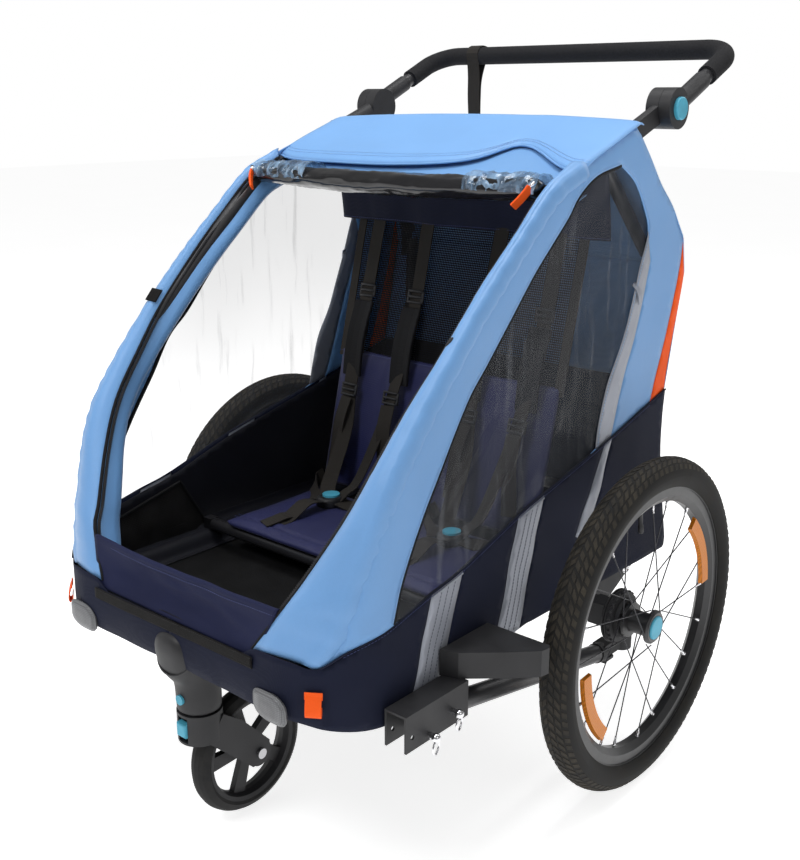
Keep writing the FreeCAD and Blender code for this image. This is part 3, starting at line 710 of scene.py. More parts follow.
def lower_regions():
    top = [q for q in smooth([(-800, 333), (-700, 333)] + SKIRT_TOP, 8)]
    outer = top + smooth(SKIRT_REAR, 8)[1:-1] + smooth(SKIRT_BOTTOM, 8)[::-1]
    rings = {}
    for name, (a, b, c, d) in TAPES.items():
        rings[name] = straight([(a, interpolate(SKIRT_TOP, a) - 1), (b, interpolate(SKIRT_TOP, b) - 1),
                                (c, interpolate(SKIRT_BOTTOM, c) + 1), (d, interpolate(SKIRT_BOTTOM, d) + 1),
                                (a, interpolate(SKIRT_TOP, a) - 1)], 8)[:-1]
    rings["tape_c"] = straight([(20, 499), (38, 504), (-20, 358), (-52, 375), (20, 499)], 8)[:-1]
    rings["navy"] = outer
    return cut_sheet(rings)


def body_sides():
    """Right side: blue fabric, window film, tapes, orange band and the dark skirt."""
    upper = upper_regions()
    lower = lower_regions()
    made = [
        ("side_fabric", region("side_fabric", *upper["blue"], side_lift, M["blue"]), "blue_fabric", True),
        ("side_film", region("side_film", *upper["window"], window_lift, M["film"]), "clear_film", True),
        ("rear_tape", region("rear_tape", *upper["strip"], side_lift, M["tape"], 0.5), "blue_fabric", True),
        ("orange_band", region("orange_band", *upper["orange"], side_lift, M["orange"], 0.3),
         "blue_fabric", True),
        ("skirt", region("skirt", *lower["navy"], skirt_lift, M["navy"]), "navy_fabric", False),
        ("skirt_lining", skirt_lining(), "navy_fabric", False),
        ("skirt_tape_a", region("skirt_tape_a", *lower["tape_a"], skirt_lift, M["tape"], 0.6),
         "navy_fabric", False),
        ("skirt_tape_b", region("skirt_tape_b", *lower["tape_b"], skirt_lift, M["tape"], 0.6),
         "navy_fabric", False),
        ("skirt_tape_c", region("skirt_tape_c", *lower["tape_c"], skirt_lift, M["tape"], 0.6),
         "navy_fabric", False),
    ]
    return made


OPENING = [(153, -550, 346), (193, -531, 407), (205, -515, 432), (235, -476, 502), (253, -438, 566),
           (262, -387, 630), (271, -336, 687), (274, -260, 764), (277, -203, 814), (276, -144, 865),
           (272, -84, 893)]


def band_rows(count=72, across=10):
    """Cover over the right hoop, from the ridge seam to the edge of the front opening."""
    outer = resample([Vector((q.x, q.y)) for q in RIDGE_S if q.x < -60][::-1], count)
    inner = resample(smooth([pt(*q) for q in OPENING], 0.01), count)
    rows = []
    for i in range(count):
        s, z = outer[i]
        before, after = outer[max(i - 1, 0)], outer[min(i + 1, count - 1)]
        run = (after - before).normalized()
        nx, ny = plan(s)[2:]
        up = Vector((nx * 0.15, -run.y + ny * 0.2, run.x)).normalized()
        edge = to_world(s, z, side_lift)
        wide = (inner[i] - edge).length
        row = []
        for k in range(across + 1):
            u = k / across
            p = edge.lerp(inner[i], u)
            swell = math.sin(math.pi * min(1.0, u * 1.05)) * min(9 * MM, wide * 0.2)
            tuck = -5 * MM * ease(u, 0.82, 1.0)
            slack = 0.9 * MM * rumple(s * 1.2, z * 1.2 + 60 * u, 31, 40) * math.sin(math.pi * u)
            row.append(p + up * (swell + tuck + slack))
        rows.append(row)
    return rows


def over_ridge(rows):
    """The hoop cover's rows carried over the hoop and a little way down the side, in one round turn."""
    outer = resample([Vector((q.x, q.y)) for q in RIDGE_S if q.x < -60][::-1], len(rows))
    wide = []
    for i, row in enumerate(rows):
        run = (outer[min(i + 1, len(rows) - 1)] - outer[max(i - 1, 0)]).normalized()
        nx, ny = plan(outer[i].x)[2:]
        down = Vector((0, run.y, -run.x))
        start = row[0] + (down * 17 + Vector((nx, ny, 0)) * 5.5) * MM
        top = row[0] + (Vector((nx, ny, 0)) * 6.0 + Vector((0, -0.5, 0.8)) * 2.5 - down * 1.0) * MM
        turn = []
        for k in range(9):
            t = k / 8
            turn.append(start * (1 - t) ** 2 + top * 2 * t * (1 - t) + row[2] * t ** 2)
        wide.append([row[0] + (down * 19 + Vector((nx, ny, 0)) * 3.5) * MM] + turn + row[3:])
    return wide


def stitches(name, path, body, every=4.6, long=2.9, radius=0.42, thread="thread"):
    """A line of thread: short raised stitches along a path."""
    total = sum((b - a).length for a, b in zip(path, path[1:]))
    count = max(2, int(total / (every * MM)))
    marks = resample(path, count * 2 + 1)
    verts, faces = [], []
    for i in range(count):
        a, b = marks[2 * i], marks[2 * i + 1]
        d = (b - a).normalized()
        b = a + d * long * MM
        side = d.orthogonal().normalized()
        up = d.cross(side)
        base = len(verts)
        for p in (a, b):
            for k in range(4):
                t = math.pi / 2 * k
                verts.append(p + (side * math.cos(t) + up * math.sin(t)) * radius * MM)
        for k in range(4):
            faces.append((base + k, base + (k + 1) % 4, base + 4 + (k + 1) % 4, base + 4 + k))
        faces.append((base + 3, base + 2, base + 1, base))
        faces.append((base + 4, base + 5, base + 6, base + 7))
    return add(name, verts, faces, M[thread], body, "blue_fabric", smooth_shade=False)


def hoop_bands():
    """Both hoop covers with their linings and the piping along the opening."""
    rows = band_rows()
    for side in (1, -1):
        tag = TAGS[side]
        flip = [on_side(row, side)[::side] for row in over_ridge(rows)]
        band = add_grid("hoop_band_" + tag, flip, M["blue"], "hoop", "blue_fabric")
        cut_size(band)
        thicken(band, 1.4)
        back = [on_side(row, side)[::side] for row in hoop_lining(rows)]
        lining = add_grid("hoop_lining_" + tag, back, M["blue"], "hoop", "blue_fabric")
        cut_size(lining)
        thicken(lining, 0.8)
        edge = on_side([row[-1] for row in rows], side)
        tube_along("opening_piping_" + tag, edge, 2.6 * MM, M["piping"], "hoop", "black_webbing")
    return rows


def hoop_lining(rows):
    """Inner face of the hoop cover, from the opening's edge round the tube to the side fabric."""
    outer = resample([Vector((q.x, q.y)) for q in RIDGE_S if q.x < -60][::-1], len(rows))
    lining = []
    for i, row in enumerate(rows):
        s, z = outer[i]
        before, after = outer[max(i - 1, 0)], outer[min(i + 1, len(rows) - 1)]
        run = (after - before).normalized()
        low = Vector((0, run.y, -run.x))
        edge = row[-1]
        x, y, nx, ny = plan(s)
        wall = pt(x - nx * 9, y - ny * 9, z) + low * 44 * MM
        turn = edge.lerp(wall, 0.35) + low * 9 * MM
        turn.x = min(edge.x - 1 * MM, 256 * MM)
        curve = resample(smooth([edge, turn + low * 6 * MM, turn.lerp(wall, 0.55) + low * 10 * MM, wall],
                                0.01), 10)
        lining.append(curve)
    return lining


FLAP_EDGE = [(-292, -60), (-250, -80), (-183, -91), (-100, -96), (-4, -94), (70, -82), (110, -58), (137, -12),
             (165, -10), (200, -30), (240, -58), (270, -74), (292, -70)]
ROOF_REAR_Y = 80.0


def ridge_z(y):
    table = sorted((q[0], q[1]) for q in RIDGE)
    return interpolate(table, y) if y <= 60 else 944 + (y - 60) * 0.36


def roof_point(x, y, lift=0.0):
    side = abs(x) / 292.0
    crown = 7.0 * (1 - side ** 2) - 3.0 * math.exp(-(292 - abs(x)) / 9.0)
    sag = -4.0 * math.sin(math.pi * min(1.0, max(0.0, (y + 95) / 175))) * (1 - side ** 2)
    slack = 1.4 * rumple(x * 0.5, y, 41, 60)
    return pt(x, y, ridge_z(y) + crown + sag + slack + lift)


def roof():
    """Roof sheet with the waved front flap and a turned-down rear edge."""
    rows = []
    across = 64
    for j in range(26):
        v = j / 25
        row = []
        for i in range(across + 1):
            x = -292 + 584 * i / across
            front = interpolate([(q[0], q[1]) for q in smooth(FLAP_EDGE, 10)], x)
            y = front + (ROOF_REAR_Y - front) * v
            droop = -7.0 * math.exp(-(y - front) / 14.0) - 5.0 * ease(v, 0.95, 1.0)
            row.append(roof_point(x, y, droop + 2.0))
        rows.append(row)
    sheet = add_grid("roof_fabric", rows, M["blue_roof_lit"], "hoop", "blue_fabric")
    thicken(sheet, 1.6)
    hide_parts("roof_panel")
    for k, back in enumerate((0.05, 0.09)):
        line = []
        for i in range(across + 1):
            row = rows[int(25 * back) + 1]
            line.append(row[i] + Vector((0, 0, 0.9 * MM)))
        stitches("roof_stitch_%d" % k, line, "hoop")
    tube_along("roof_hem", [p + Vector((0, -0.6 * MM, -0.8 * MM)) for p in rows[0]], 1.6 * MM, M["blue_roof_lit"],
               "hoop", "blue_fabric")
    return sheet


def under_flap():
    """Blue lining under the flap, where its waved edge lets the cover's ends show."""
    rows = []
    for j in range(14):
        v = j / 13
        rows.append([roof_point(x, -104 + 120 * v, -14.0 + 5 * v)
                     for x in [-290 + 580 * i / 40 for i in range(41)]])
    sheet = add_grid("flap_lining", rows, M["blue"], "hoop", "blue_fabric")
    thicken(sheet, 1.2)


def rolled_cover():
    """The rolled front cover: dark net and clear film, rolled up under the flap."""
    centre = (-126.0, 868.0)
    rows = []
    stations = 90
    for i in range(stations + 1):
        x = -268 + 536 * i / stations
        mid = 1 - abs(x) / 268
        drop = 5.0 * math.sin(math.pi * (i / stations))
        row = []
        for a in circle(28):
            r = 15.5 + 2.0 * mid + 2.6 * rumple(x * 0.25, a * 22, 51, 14) + 1.2 * rumple(x, a * 30, 52, 9)
            r *= 1 - 0.55 * max(0.0, (abs(x) - 255) / 13) ** 2
            row.append(pt(x, centre[0] - 2 + r * 1.1 * math.cos(a),
                          centre[1] - drop + r * math.sin(a) * 0.95))
        rows.append(row)
    roll = skin("front_cover_roll", rows, M["vinyl"], "hoop", "black_webbing", flip=True)
    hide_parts("rolled_cover")
    for side in (-1, 1):
        rows = []
        for i in range(30):
            x = side * (150 + 118 * i / 29)
            row = []
            for k in range(25):
                a = math.radians(-60 + 250 * k / 24)
                r = 20 + 4.2 * rumple(x * 0.9, a * 16, 61 + side, 9) + 2.5 * rumple(x * 0.3, a * 9, 66, 12)
                row.append(pt(x, centre[0] + 6 + r * 1.35 * math.cos(a), centre[1] - 1 + r * math.sin(a)))
            rows.append(row if side > 0 else row[::-1])
        film = add_grid("cover_film_" + TAGS[side], rows, M["crinkled"], "hoop",
                        "clear_film")


def crinkled_material():
    """Gathered clear film: pleats run round the roll; their crests are painted light blue as reflected light
    and their hollows dark as painted shade.
    """
    n = Nodes("crinkled_film", (0.2, 0.33, 0.48), 0.07, IOR=1.5, Coat_Weight=0.6, Coat_Roughness=0.03)
    folds = n.noise(60.0, 3.0, 0.5, stretch=(1.6, 0.5, 0.5))
    # Painted reflection and shade: the fold noise that shapes the bump also makes the crests more opaque and
    # light blue, and the hollows clearer and dark.
    n.link(n.ramp(folds, 0.35, 0.75, (0.45, 0.45, 0.45), (0.85, 0.85, 0.85)), n.shader.inputs["Alpha"])
    n.color(folds, (0.05, 0.08, 0.13), (0.32, 0.5, 0.72), 0.3, 0.72)
    n.bump(folds, 5.0, 0.9)
    n.material.surface_render_method = "BLENDED"
    return n.material


def vinyl_material():
    """Rolled black sheet with a shine: long soft creases along the roll, their crests painted a little
    lighter as highlight.
    """
    n = Nodes("black_vinyl", srgb(14, 14, 17), 0.2, Coat_Weight=0.5, Coat_Roughness=0.08)
    crease = n.noise(30.0, 3.0, 0.5, stretch=(0.16, 1.0, 1.0))
    # Painted highlight: the crease noise that shapes the bump also lifts the crests from near black to dark
    # grey.
    n.color(crease, srgb(10, 10, 12), srgb(26, 26, 30))
    n.bump(crease, 4.0, 0.6)
    return n.material


M["crinkled"] = crinkled_material()
M["vinyl"] = vinyl_material()


def cut_size(obj):
    """Width and length of the flat cloth: its longest side, and what its area leaves."""
    area = sum(face.area for face in obj.data.polygons)
    spans = [[v.co[k] for v in obj.data.vertices] for k in range(3)]
    long = max(max(span) - min(span) for span in spans)
    return area / long, long


def folds_with_side(obj):
    """Rides on the chassis, with a mesh of its own."""
    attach(obj, "chassis")
    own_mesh(obj)


def place_sides():
    """The sewn pieces of both sides, the left one a mirror of the right."""
    for name, obj, slot, folds in body_sides():
        size = cut_size(obj)
        if "film" not in name:
            thicken(obj, 1.3)
        apply_all(obj)
        left = mirror_x(obj, name + "_left")
        obj.name = name + "_right"
        for o in (obj, left):
            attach(o, "chassis")
            if folds:
                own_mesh(o)
        yield name, obj, left


def camera_and_light():
    scene = bpy.context.scene
    data = bpy.data.cameras.new("camera")
    cam = bpy.data.objects.new("camera", data)
    scene.collection.objects.link(cam)
    data.lens = 47.29
    data.sensor_width = 36
    cam.location = (1.09484, -1.36147 + AXLE_Y, 0.98295)
    cam.rotation_euler = (math.radians(90 - 16.467), 0, math.radians(40.915))
    scene.camera = cam
    world = bpy.data.worlds.new("studio")
    world.use_nodes = True
    tree = world.node_tree
    ambient = tree.nodes["Background"]
    ambient.inputs["Color"].default_value = (1, 1, 1, 1)
    ambient.inputs["Strength"].default_value = 0.27
    backdrop = tree.nodes.new("ShaderNodeBackground")
    backdrop.inputs["Strength"].default_value = 1.0
    backdrop.inputs["Color"].default_value = (1, 1, 1, 1)
    choose = tree.nodes.new("ShaderNodeMixShader")
    path = tree.nodes.new("ShaderNodeLightPath")
    tree.links.new(path.outputs["Is Camera Ray"], choose.inputs["Fac"])
    tree.links.new(ambient.outputs["Background"], choose.inputs[1])
    tree.links.new(backdrop.outputs["Background"], choose.inputs[2])
    tree.links.new(choose.outputs["Shader"], tree.nodes["World Output"].inputs["Surface"])
    scene.world = world
    scene.view_settings.view_transform = "Standard"
    scene.view_settings.look = "None"
    lights = (("key", (-0.3, -2.2, 3.1), 1.2, 42), ("fill", (-2.6, -0.6, 1.6), 2.0, 10),
              ("side", (2.8, -0.9, 2.1), 1.8, 9), ("rim", (0.8, 2.6, 2.4), 1.6, 20),
              ("top", (0.0, 0.2, 3.2), 1.4, 46))
    for name, place, size, power in lights:
        light = bpy.data.lights.new(name, "AREA")
        light.shape = "DISK"
        light.size = size
        light.energy = power
        obj = bpy.data.objects.new(name, light)
        scene.collection.objects.link(obj)
        obj.location = place
        aim = Vector((0, 0, 0.45)) - Vector(place)
        obj.rotation_euler = aim.to_track_quat("-Z", "Y").to_euler()
    floor_mat = Nodes("floor", (0.7, 0.7, 0.7), 0.9, Emission_Color=(1, 1, 1, 1), Emission_Strength=0.78,
                      Specular_IOR_Level=0.0)
    floor_mat.color(floor_mat.noise(2.0, 2.0), (0.69, 0.69, 0.69), (0.71, 0.71, 0.71))
    side = 14.0
    floor = add("floor", [(-side, -side, -0.0005), (side, -side, -0.0005), (side, side, -0.0005),
                          (-side, side, -0.0005)], [(0, 1, 2, 3)], floor_mat.material)


# ------------------------------------------------------------------ seats and harness
SEATS = (("right", 125.0), ("left", -125.0))
SEAT_HALF = 220.0
BACK_FOOT = (-44.0, 345.0)
BACK_HEAD = (76.0, 840.0)
BACK_LENGTH = math.dist(BACK_FOOT, BACK_HEAD)
BACK_NORMAL = Vector((0, -0.972, 0.2356))


def back_point(x, t, lift=0.0):
    """A place on the front face of the seat back, t from 0 at its foot to 1 at its head."""
    y = BACK_FOOT[0] + (BACK_HEAD[0] - BACK_FOOT[0]) * t
    z = BACK_FOOT[1] + (BACK_HEAD[1] - BACK_FOOT[1]) * t
    return pt(x, y, z) + BACK_NORMAL * lift * MM


def folds_with_seat(obj):
    """Rides the chassis, with a mesh of its own."""
    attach(obj, "chassis")
    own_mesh(obj)
    return obj


def back_pad(tag, seat):
    """Stuffed lower half of one seat back: crowned, with puckers along its seams."""
    if seat > 0:
        x0, x1 = seat - 119, seat + 95
    else:
        x0, x1 = seat - 95, seat + 119
    top = 0.455
    across, along = 40, 44
    verts = []
    for j in range(along + 1):
        v = j / along
        ring = []
        for front in (1, 0):
            order = range(across + 1) if front else range(across - 1, 0, -1)
            for i in order:
                u = i / across
                edge = min(min(u, 1 - u) * (x1 - x0), min(v, 1 - v) * top * BACK_LENGTH)
                puff = 1 - math.exp(-edge / 13.0)
                pucker = rumple(u * 210, v * 14, 71 + seat, 11) * math.exp(-edge / 22.0)
                slack = rumple(u * 190, v * 230, 74 + seat, 46) * 2.2 * puff
                channel = -2.4 * math.exp(-((u - 0.5) * 210 / 6) ** 2)
                lift = (2.0 + 7.5 * puff + pucker * 2.4 * puff + slack
                        + channel * puff) if front else 1.0 * puff
                ring.append(back_point(x0 + (x1 - x0) * u, v * top, lift))
        verts.append(ring)
    faces = [f[::-1] for f in grid(verts, close_v=True)]
    flat = [p for ring in verts for p in ring]
    size = len(verts[0])
    for first in (0, along * size):
        for k in range(across):
            a, b = first + k, first + k + 1
            c, d = first + (size - k - 1) % size, first + (size - k) % size
            faces.append((a, b, c, d) if first == 0 else (d, c, b, a))
    obj = add("seat_back_pad_" + tag, flat, faces, M["seat"], slot="navy_fabric")
    folds_with_seat(obj)
    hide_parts("seat_back")
    hem = [back_point(x0 + (x1 - x0) * k / 60, top - 0.008, 9.4) for k in range(61)]
    folds_with_seat(stitches("back_hem_stitch_" + tag, hem, None, every=4.2, long=2.6, thread="navy_thread"))


def back_net():
    """See-through knitted net above the pads, bound with black tape."""
    x0, x1, t0, t1 = -SEAT_HALF + 2, SEAT_HALF - 2, 0.43, 0.93
    rows = []
    for j in range(49):
        v = j / 48
        rows.append([back_point(x0 + (x1 - x0) * i / 60, t0 + (t1 - t0) * v,
                                2.0 + 3.0 * math.sin(math.pi * v) * math.sin(math.pi * i / 60)
                                + 1.2 * rumple(i * 7.2, v * 250, 81, 70)) for i in range(61)])
    net = add_grid("seat_back_net", rows, M["net"], slot="black_webbing")
    folds_with_seat(net)
    for side, edge in ((1, [row[-1] for row in rows]), (-1, [row[0] for row in rows])):
        bound = ribbon("net_binding_%s" % TAGS[side], edge, 16, 1.6, (1, 0, 0),
                       M["webbing"], slot="black_webbing")
        folds_with_seat(bound)
    for k, seat in enumerate((-176, -74, 74, 176)):
        tape = [back_point(seat, 0.44 + 0.5 * i / 20, 4.0 + 0.4 * math.sin(i)) for i in range(21)]
        folds_with_seat(ribbon("net_tape_%d" % k, tape, 9, 1.2, (1, 0, 0), M["webbing"],
                               slot="black_webbing"))


def valance():
    """Dark cloth that hangs from the roof bar down to the net, a little wavy at its hem."""
    line = smooth([(32, 910), (38, 893), (46, 858), (53, 818), (57, 784)], 6)
    rows = []
    for j, (y, z) in enumerate(line):
        v = j / (len(line) - 1)
        row = []
        for i in range(81):
            x = -262 + 524 * i / 80
            wave = (3.4 * rumple(x, 0, 85, 55) + 1.6 * rumple(x, 3, 86, 21)) * v
            row.append(pt(x, y + wave, z + 2.5 * rumple(x, 0, 87, 120) * v))
        rows.append(row)
    sheet = add_grid("head_valance", rows[::-1], M["navy"], slot="navy_fabric")
    thicken(sheet, 1.2)
    folds_with_seat(sheet)
    hem = [p + Vector((0, -1.0 * MM, 3 * MM)) for p in rows[-1]]
    folds_with_seat(stitches("valance_hem_stitch", hem, None, every=4.2, long=2.6, thread="navy_thread"))


def inflate(obj, cap, voxel=6.0, pressure=4.0):
    """Swells a closed pad by cloth pressure, holding back any point that moves more than cap."""
    mod = modifier(obj, "REMESH", mode="VOXEL", voxel_size=voxel * MM)
    mod.use_smooth_shade = True
    apply_all(obj)
    start = [v.co.copy() for v in obj.data.vertices]
    cloth = obj.modifiers.new("cloth", "CLOTH")
    cloth.settings.use_pressure = True
    cloth.settings.uniform_pressure_force = pressure
    cloth.settings.effector_weights.gravity = 0
    for step in range(1, 21):
        bpy.context.scene.frame_set(step)
    apply_all(obj)
    for v, was in zip(obj.data.vertices, start):
        move = v.co - was
        if move.length > cap * MM:
            v.co = was + move.normalized() * cap * MM
    bpy.context.scene.frame_set(1)


def seat_cushion():
    """One wide seat pad with a rolled front edge: swollen by pressure, then seams and puckers."""
    section = [(-62, 331), (-62, 337), (-90, 338.5), (-180, 339), (-262, 338.5), (-276, 337.5), (-282, 334),
               (-281, 330.5), (-274, 328.8), (-180, 330), (-90, 330)]
    loop = smooth(section + section[:1], 6)[:-1]
    rows = []
    for i in range(75):
        u = i / 74
        x = -SEAT_HALF + 2 * SEAT_HALF * u
        near = min(u, 1 - u) * 2 * SEAT_HALF
        shrink = 1 - 0.75 * math.exp(-near / 5.0)
        rows.append([pt(x, y, 334 + (z - 334) * shrink) for y, z in loop])
    pad = skin("seat_cushion_pad", rows, M["seat"], slot="navy_fabric", flip=True)
    inflate(pad, 4.5)
    modifier(pad, "SUBSURF", levels=1, render_levels=1)
    apply_all(pad)
    for v in pad.data.vertices:
        x, y, z = v.co.x / MM, (v.co.y - AXLE_Y) / MM, v.co.z / MM
        top = ease(z, 333, 338)
        front = ease(-y, 262, 280)
        seam = math.exp(-(x / 5.0) ** 2) + math.exp(-((y + 252) / 4.0) ** 2)
        crown = (1.6 * math.sin(math.pi * min(1, abs(x) / SEAT_HALF))
                 * math.sin(math.pi * (y + 282) / 224) * top)
        pucker = 1.3 * rumple(x, y * 0.1, 91, 7) * (front + 0.5 * math.exp(-((y + 252) / 12.0) ** 2) * top)
        slack = 1.1 * rumple(x, y, 93, 38) * top
        v.co.z += (crown + slack - 2.2 * seam * top + pucker * top) * MM
        v.co.y -= pucker * front * MM * 0.7
    pad.data.shade_smooth()
    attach(pad, "chassis")
    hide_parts("seat_cushion")
    for k, y in enumerate((-248, -256)):
        line = [pt(-SEAT_HALF + 8 + 2 * (SEAT_HALF - 8) * i / 90, y, 340.6) for i in range(91)]
        stitches("cushion_stitch_%d" % k, line, "chassis", every=4.2, long=2.6, thread="navy_thread")


def slider(name, centre, across, along, normal, wide):
    """Ladder-lock slider: two side rails and three bars round the webbing."""
    parts = []
    for u in (-1, 1):
        mid = centre + across * u * (wide / 2 + 2) * MM
        parts.append(tube_along(name + "_rail", [mid + along * k * MM for k in (-10, -5, 0, 5, 10)], 2.4 * MM,
                                M["plastic"], sides=8))
    for k in (-9, 0, 9):
        ends = [centre + along * k * MM + normal * 2.0 * MM + across * u * (wide / 2 + 2) * MM
                for u in (-1, -0.3, 0.3, 1)]
        parts.append(tube_along(name + "_bar", ends, 2.0 * MM, M["plastic"], sides=8))
    obj = join(name, parts)
    return folds_with_seat(obj)


def strap(name, points, width=25.0, across=(1, 0, 0), thick=1.7, material="webbing", step=0.007):
    path = smooth([pt(*p) if not isinstance(p, Vector) else p for p in points], step)
    if isinstance(across, list):
        across = resample([Vector(a) for a in across], len(path))
    obj = ribbon(name, path, width, thick, across, M[material], slot="black_webbing")
    return obj


def harness(tag, seat):
    """Five-point harness of one seat: shoulder, lap and crotch webbing, pads and sliders."""
    out = 1 if seat > 0 else -1
    made = []
    for side in (-1, 1):
        end = "outer" if side == out else "inner"
        x = seat + side * 52
        run = [back_point(x, 0.965, 5), back_point(x, 0.85, 7), back_point(x + side * 1.5, 0.66, 9),
               back_point(x - side * 1, 0.5, 16), back_point(x - side * 5, 0.34, 24),
               back_point(x - side * 16, 0.2, 32), (seat + side * 29, -92, 384),
               (seat + side * 20, -112, 366),
               (seat + side * 13, -118, 357)]
        made.append(strap("shoulder_strap_%s_%s" % (tag, end), run, 25,
                          [(1, 0, 0), (1, 0, 0), (1, 0, 0), (1, 0, 0.05 * side), (1, 0, 0.25 * side),
                           (1, -0.3 * side, 0.2 * side)]))
        pad = [back_point(x - side * 0.2, 0.62 - 0.25 * k / 12,
                          14 + 7 * math.sin(math.pi * k / 12) + 5 * k / 12)
               for k in range(13)]
        cover = ribbon("shoulder_pad_%s_%s" % (tag, end), pad, 38, 6.5, (1, 0, 0), M["piping"],
                       slot="black_webbing", bend=2.4)
        modifier(cover, "BEVEL", width=2.2 * MM, segments=3)
        made.append(cover)
        loose = [back_point(x - side * 6, 0.3, 30), back_point(x - side * 3, 0.22, 36),
                 back_point(x + side * 2, 0.13, 30), back_point(x + side * 6, 0.06, 26)]
        made.append(strap("strap_end_%s_%s" % (tag, end), loose, 25, (1, 0.15 * side, 0)))
        for k, (t, lift) in enumerate(((0.655, 10), (0.325, 26))):
            slider("harness_slider_%s_%s_%d" % (tag, end, k), back_point(x - side * 6 * k, t, lift),
                   Vector((1, 0, 0)), Vector((0, 0.2356, 0.972)), BACK_NORMAL, 25)
        lap = [back_point(seat + side * 88, 0.02, 8), (seat + side * 92, -66, 350),
               (seat + side * 84, -84, 345.5),
               (seat + side * 62, -106, 345), (seat + side * 40, -120, 349), (seat + side * 17, -126, 353)]
        lap_strap = strap("lap_strap_%s_%s" % (tag, end), lap, 25,
                          [(-0.1 * side, 0.5, 0.9), (0.25 * side, 0.9, 0.3), (0.3 * side, 1, 0),
                           (0.3 * side, 1, 0)])
        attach(lap_strap, "chassis")
    crotch = [(seat - 4, -238, 343.5), (seat - 3, -222, 345.5), (seat, -204, 356), (seat + 1, -186, 364),
              (seat + 1, -166, 362), (seat, -148, 354)]
    belt = strap("crotch_strap_" + tag, crotch, 27, (1, 0.08, 0))
    tail = strap("crotch_tail_" + tag, [(seat - 6, -206, 348), (seat - 9, -222, 350),
                                        (seat - 14, -240, 346.5),
                                         (seat - 20, -256, 343.5)], 27, (1, -0.3, 0))
    for obj in (belt, tail):
        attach(obj, "chassis")
    for obj in made:
        folds_with_seat(obj)
    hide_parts("harness_straps")


def buckle(tag, seat):
    """Harness buckle: a shield-shaped moulding round the push button."""
    rows = []
    heights = ((344.2, 0.93), (345.5, 0.98), (348, 1.0), (356, 0.99), (358.8, 0.95), (360, 0.86))
    for z, scale in heights:
        row = []
        for a in circle(48):
            c, s = math.cos(a), math.sin(a)
            taper = 1 - 0.16 * max(0.0, -s)
            px = 20 * math.copysign(abs(c) ** 0.62, c) * taper
            py = 25 * math.copysign(abs(s) ** 0.62, s)
            row.append(pt(seat + px * scale, -125 + py * scale, z))
        rows.append(row)
    for r, z in ((14.8, 360.4), (14.3, 357)):
        rows.append([pt(seat + r * math.cos(a), -125 + r * math.sin(a), z) for a in circle(48)])
    body = skin("buckle_shell_" + tag, rows, M["plastic"], "chassis", "black_plastic")
    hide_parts("buckle_housings")


# ------------------------------------------------------------------ footwell, nose and rear
def skirt_lining():
    """Dark inner face of the lower body."""
    outer = smooth([(-800, 331), (-700, 331)] + [(s, z - 3) for s, z in SKIRT_TOP], 8)
    outer += smooth([(s - 3, z) for s, z in SKIRT_REAR], 8)[1:-1] + smooth(SKIRT_BOTTOM, 8)[::-1]
    co, tris = cut_sheet({"lining": outer})["lining"]
    obj = region("skirt_lining", co, tris, skirt_lift, M["lining"], -5.0)
    return obj


POCKET = [(-308, 396), (-262, 318), (-254, 304), (-258, 290), (-290, 283), (-392, 283), (-436, 292),
          (-446, 352), (-430, 366)]


def pocket(side):
    """A net pocket inside the footwell's wall, bagged out a little, with a bound edge."""
    tag = TAGS[side]
    ring = smooth(POCKET + POCKET[:1], 7)[:-1]
    co, tris = cut_sheet({"net": ring}, 8.0)["net"]

    def bag(s, z):
        d = ridge_gap(s, z, ring)
        return -13.0 - 7.0 * ease(d, 0, 40) + 1.5 * rumple(s, z, 101, 26) * ease(d, 5, 30)

    net = region("footwell_pocket", co, tris, bag, M["pocket_net"])
    if side < 0:
        net.data.transform(Matrix.Scale(-1, 4, (1, 0, 0)))
        net.data.flip_normals()
    net.name = "footwell_pocket_" + tag
    cut_size(net)
    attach(net, "chassis")
    edge = on_side([to_world(s, z, bag) for s, z in ring + ring[:1]], side)
    tube_along("pocket_piping_" + tag, edge, 2.4 * MM, M["piping"], "chassis", "black_webbing", ends=False)
    return net


def front_flap():
    """Slack navy cloth between the hoop covers, above the nose seam, folded over at its top."""
    rows = []
    for j in range(23):
        v = j / 22
        lead = (-549.5 + 15.5 * v, 334 + 62 * v)
        row = []
        half = 160 + 24 * v
        for i in range(65):
            u = i / 64
            x = -half + 2 * half * u
            mid = math.sin(math.pi * u)
            sag = 13 * mid * math.sin(math.pi * min(1.0, v * 1.05))
            fold = 4.6 * rumple(x * 0.35 + v * 55, v * 70 - x * 0.12, 111, 21) * mid ** 0.5 * ease(v, 0, 0.3)
            drop = 5.0 * mid * v
            row.append(pt(x, lead[0] + sag + fold, lead[1] - drop))
        rows.append(row)
    hem = []
    for k in range(1, 9):
        a = math.pi * k / 8
        hem.append([p + Vector((0, 4.0 * MM * (1 - math.cos(a)),
                                3.0 * MM * math.sin(a) - 2.2 * MM * (k > 5) * (k - 5)))
                    for p in rows[-1]])
    sheet = add_grid("front_flap", rows + hem, M["navy_front"], "chassis", "navy_fabric")
    thicken(sheet, 1.2)
    top = [p + Vector((0, -0.7 * MM, -5.0 * MM)) for p in rows[-1]]
    stitches("flap_stitch", top, "chassis", every=4.2, long=2.6, thread="navy_thread")


LINER = [(287, 322), (280, 312), (272, 308.5), (262, 308.5), (254, 304), (250, 296), (246, 289), (236, 287.5)]
NOSE_LINER = [(-545, 332), (-538, 318), (-528, 310), (-515, 309), (-503, 304), (-497, 295), (-492, 288.3)]


def reach_inside(y, gap):
    """Half width of the body at a place along it, less a gap, round the front corners."""
    bend = max(0.0, CORNER_Y - y)
    return FLAT_X + math.sqrt(max(0.0, NOSE_R ** 2 - bend ** 2)) - gap


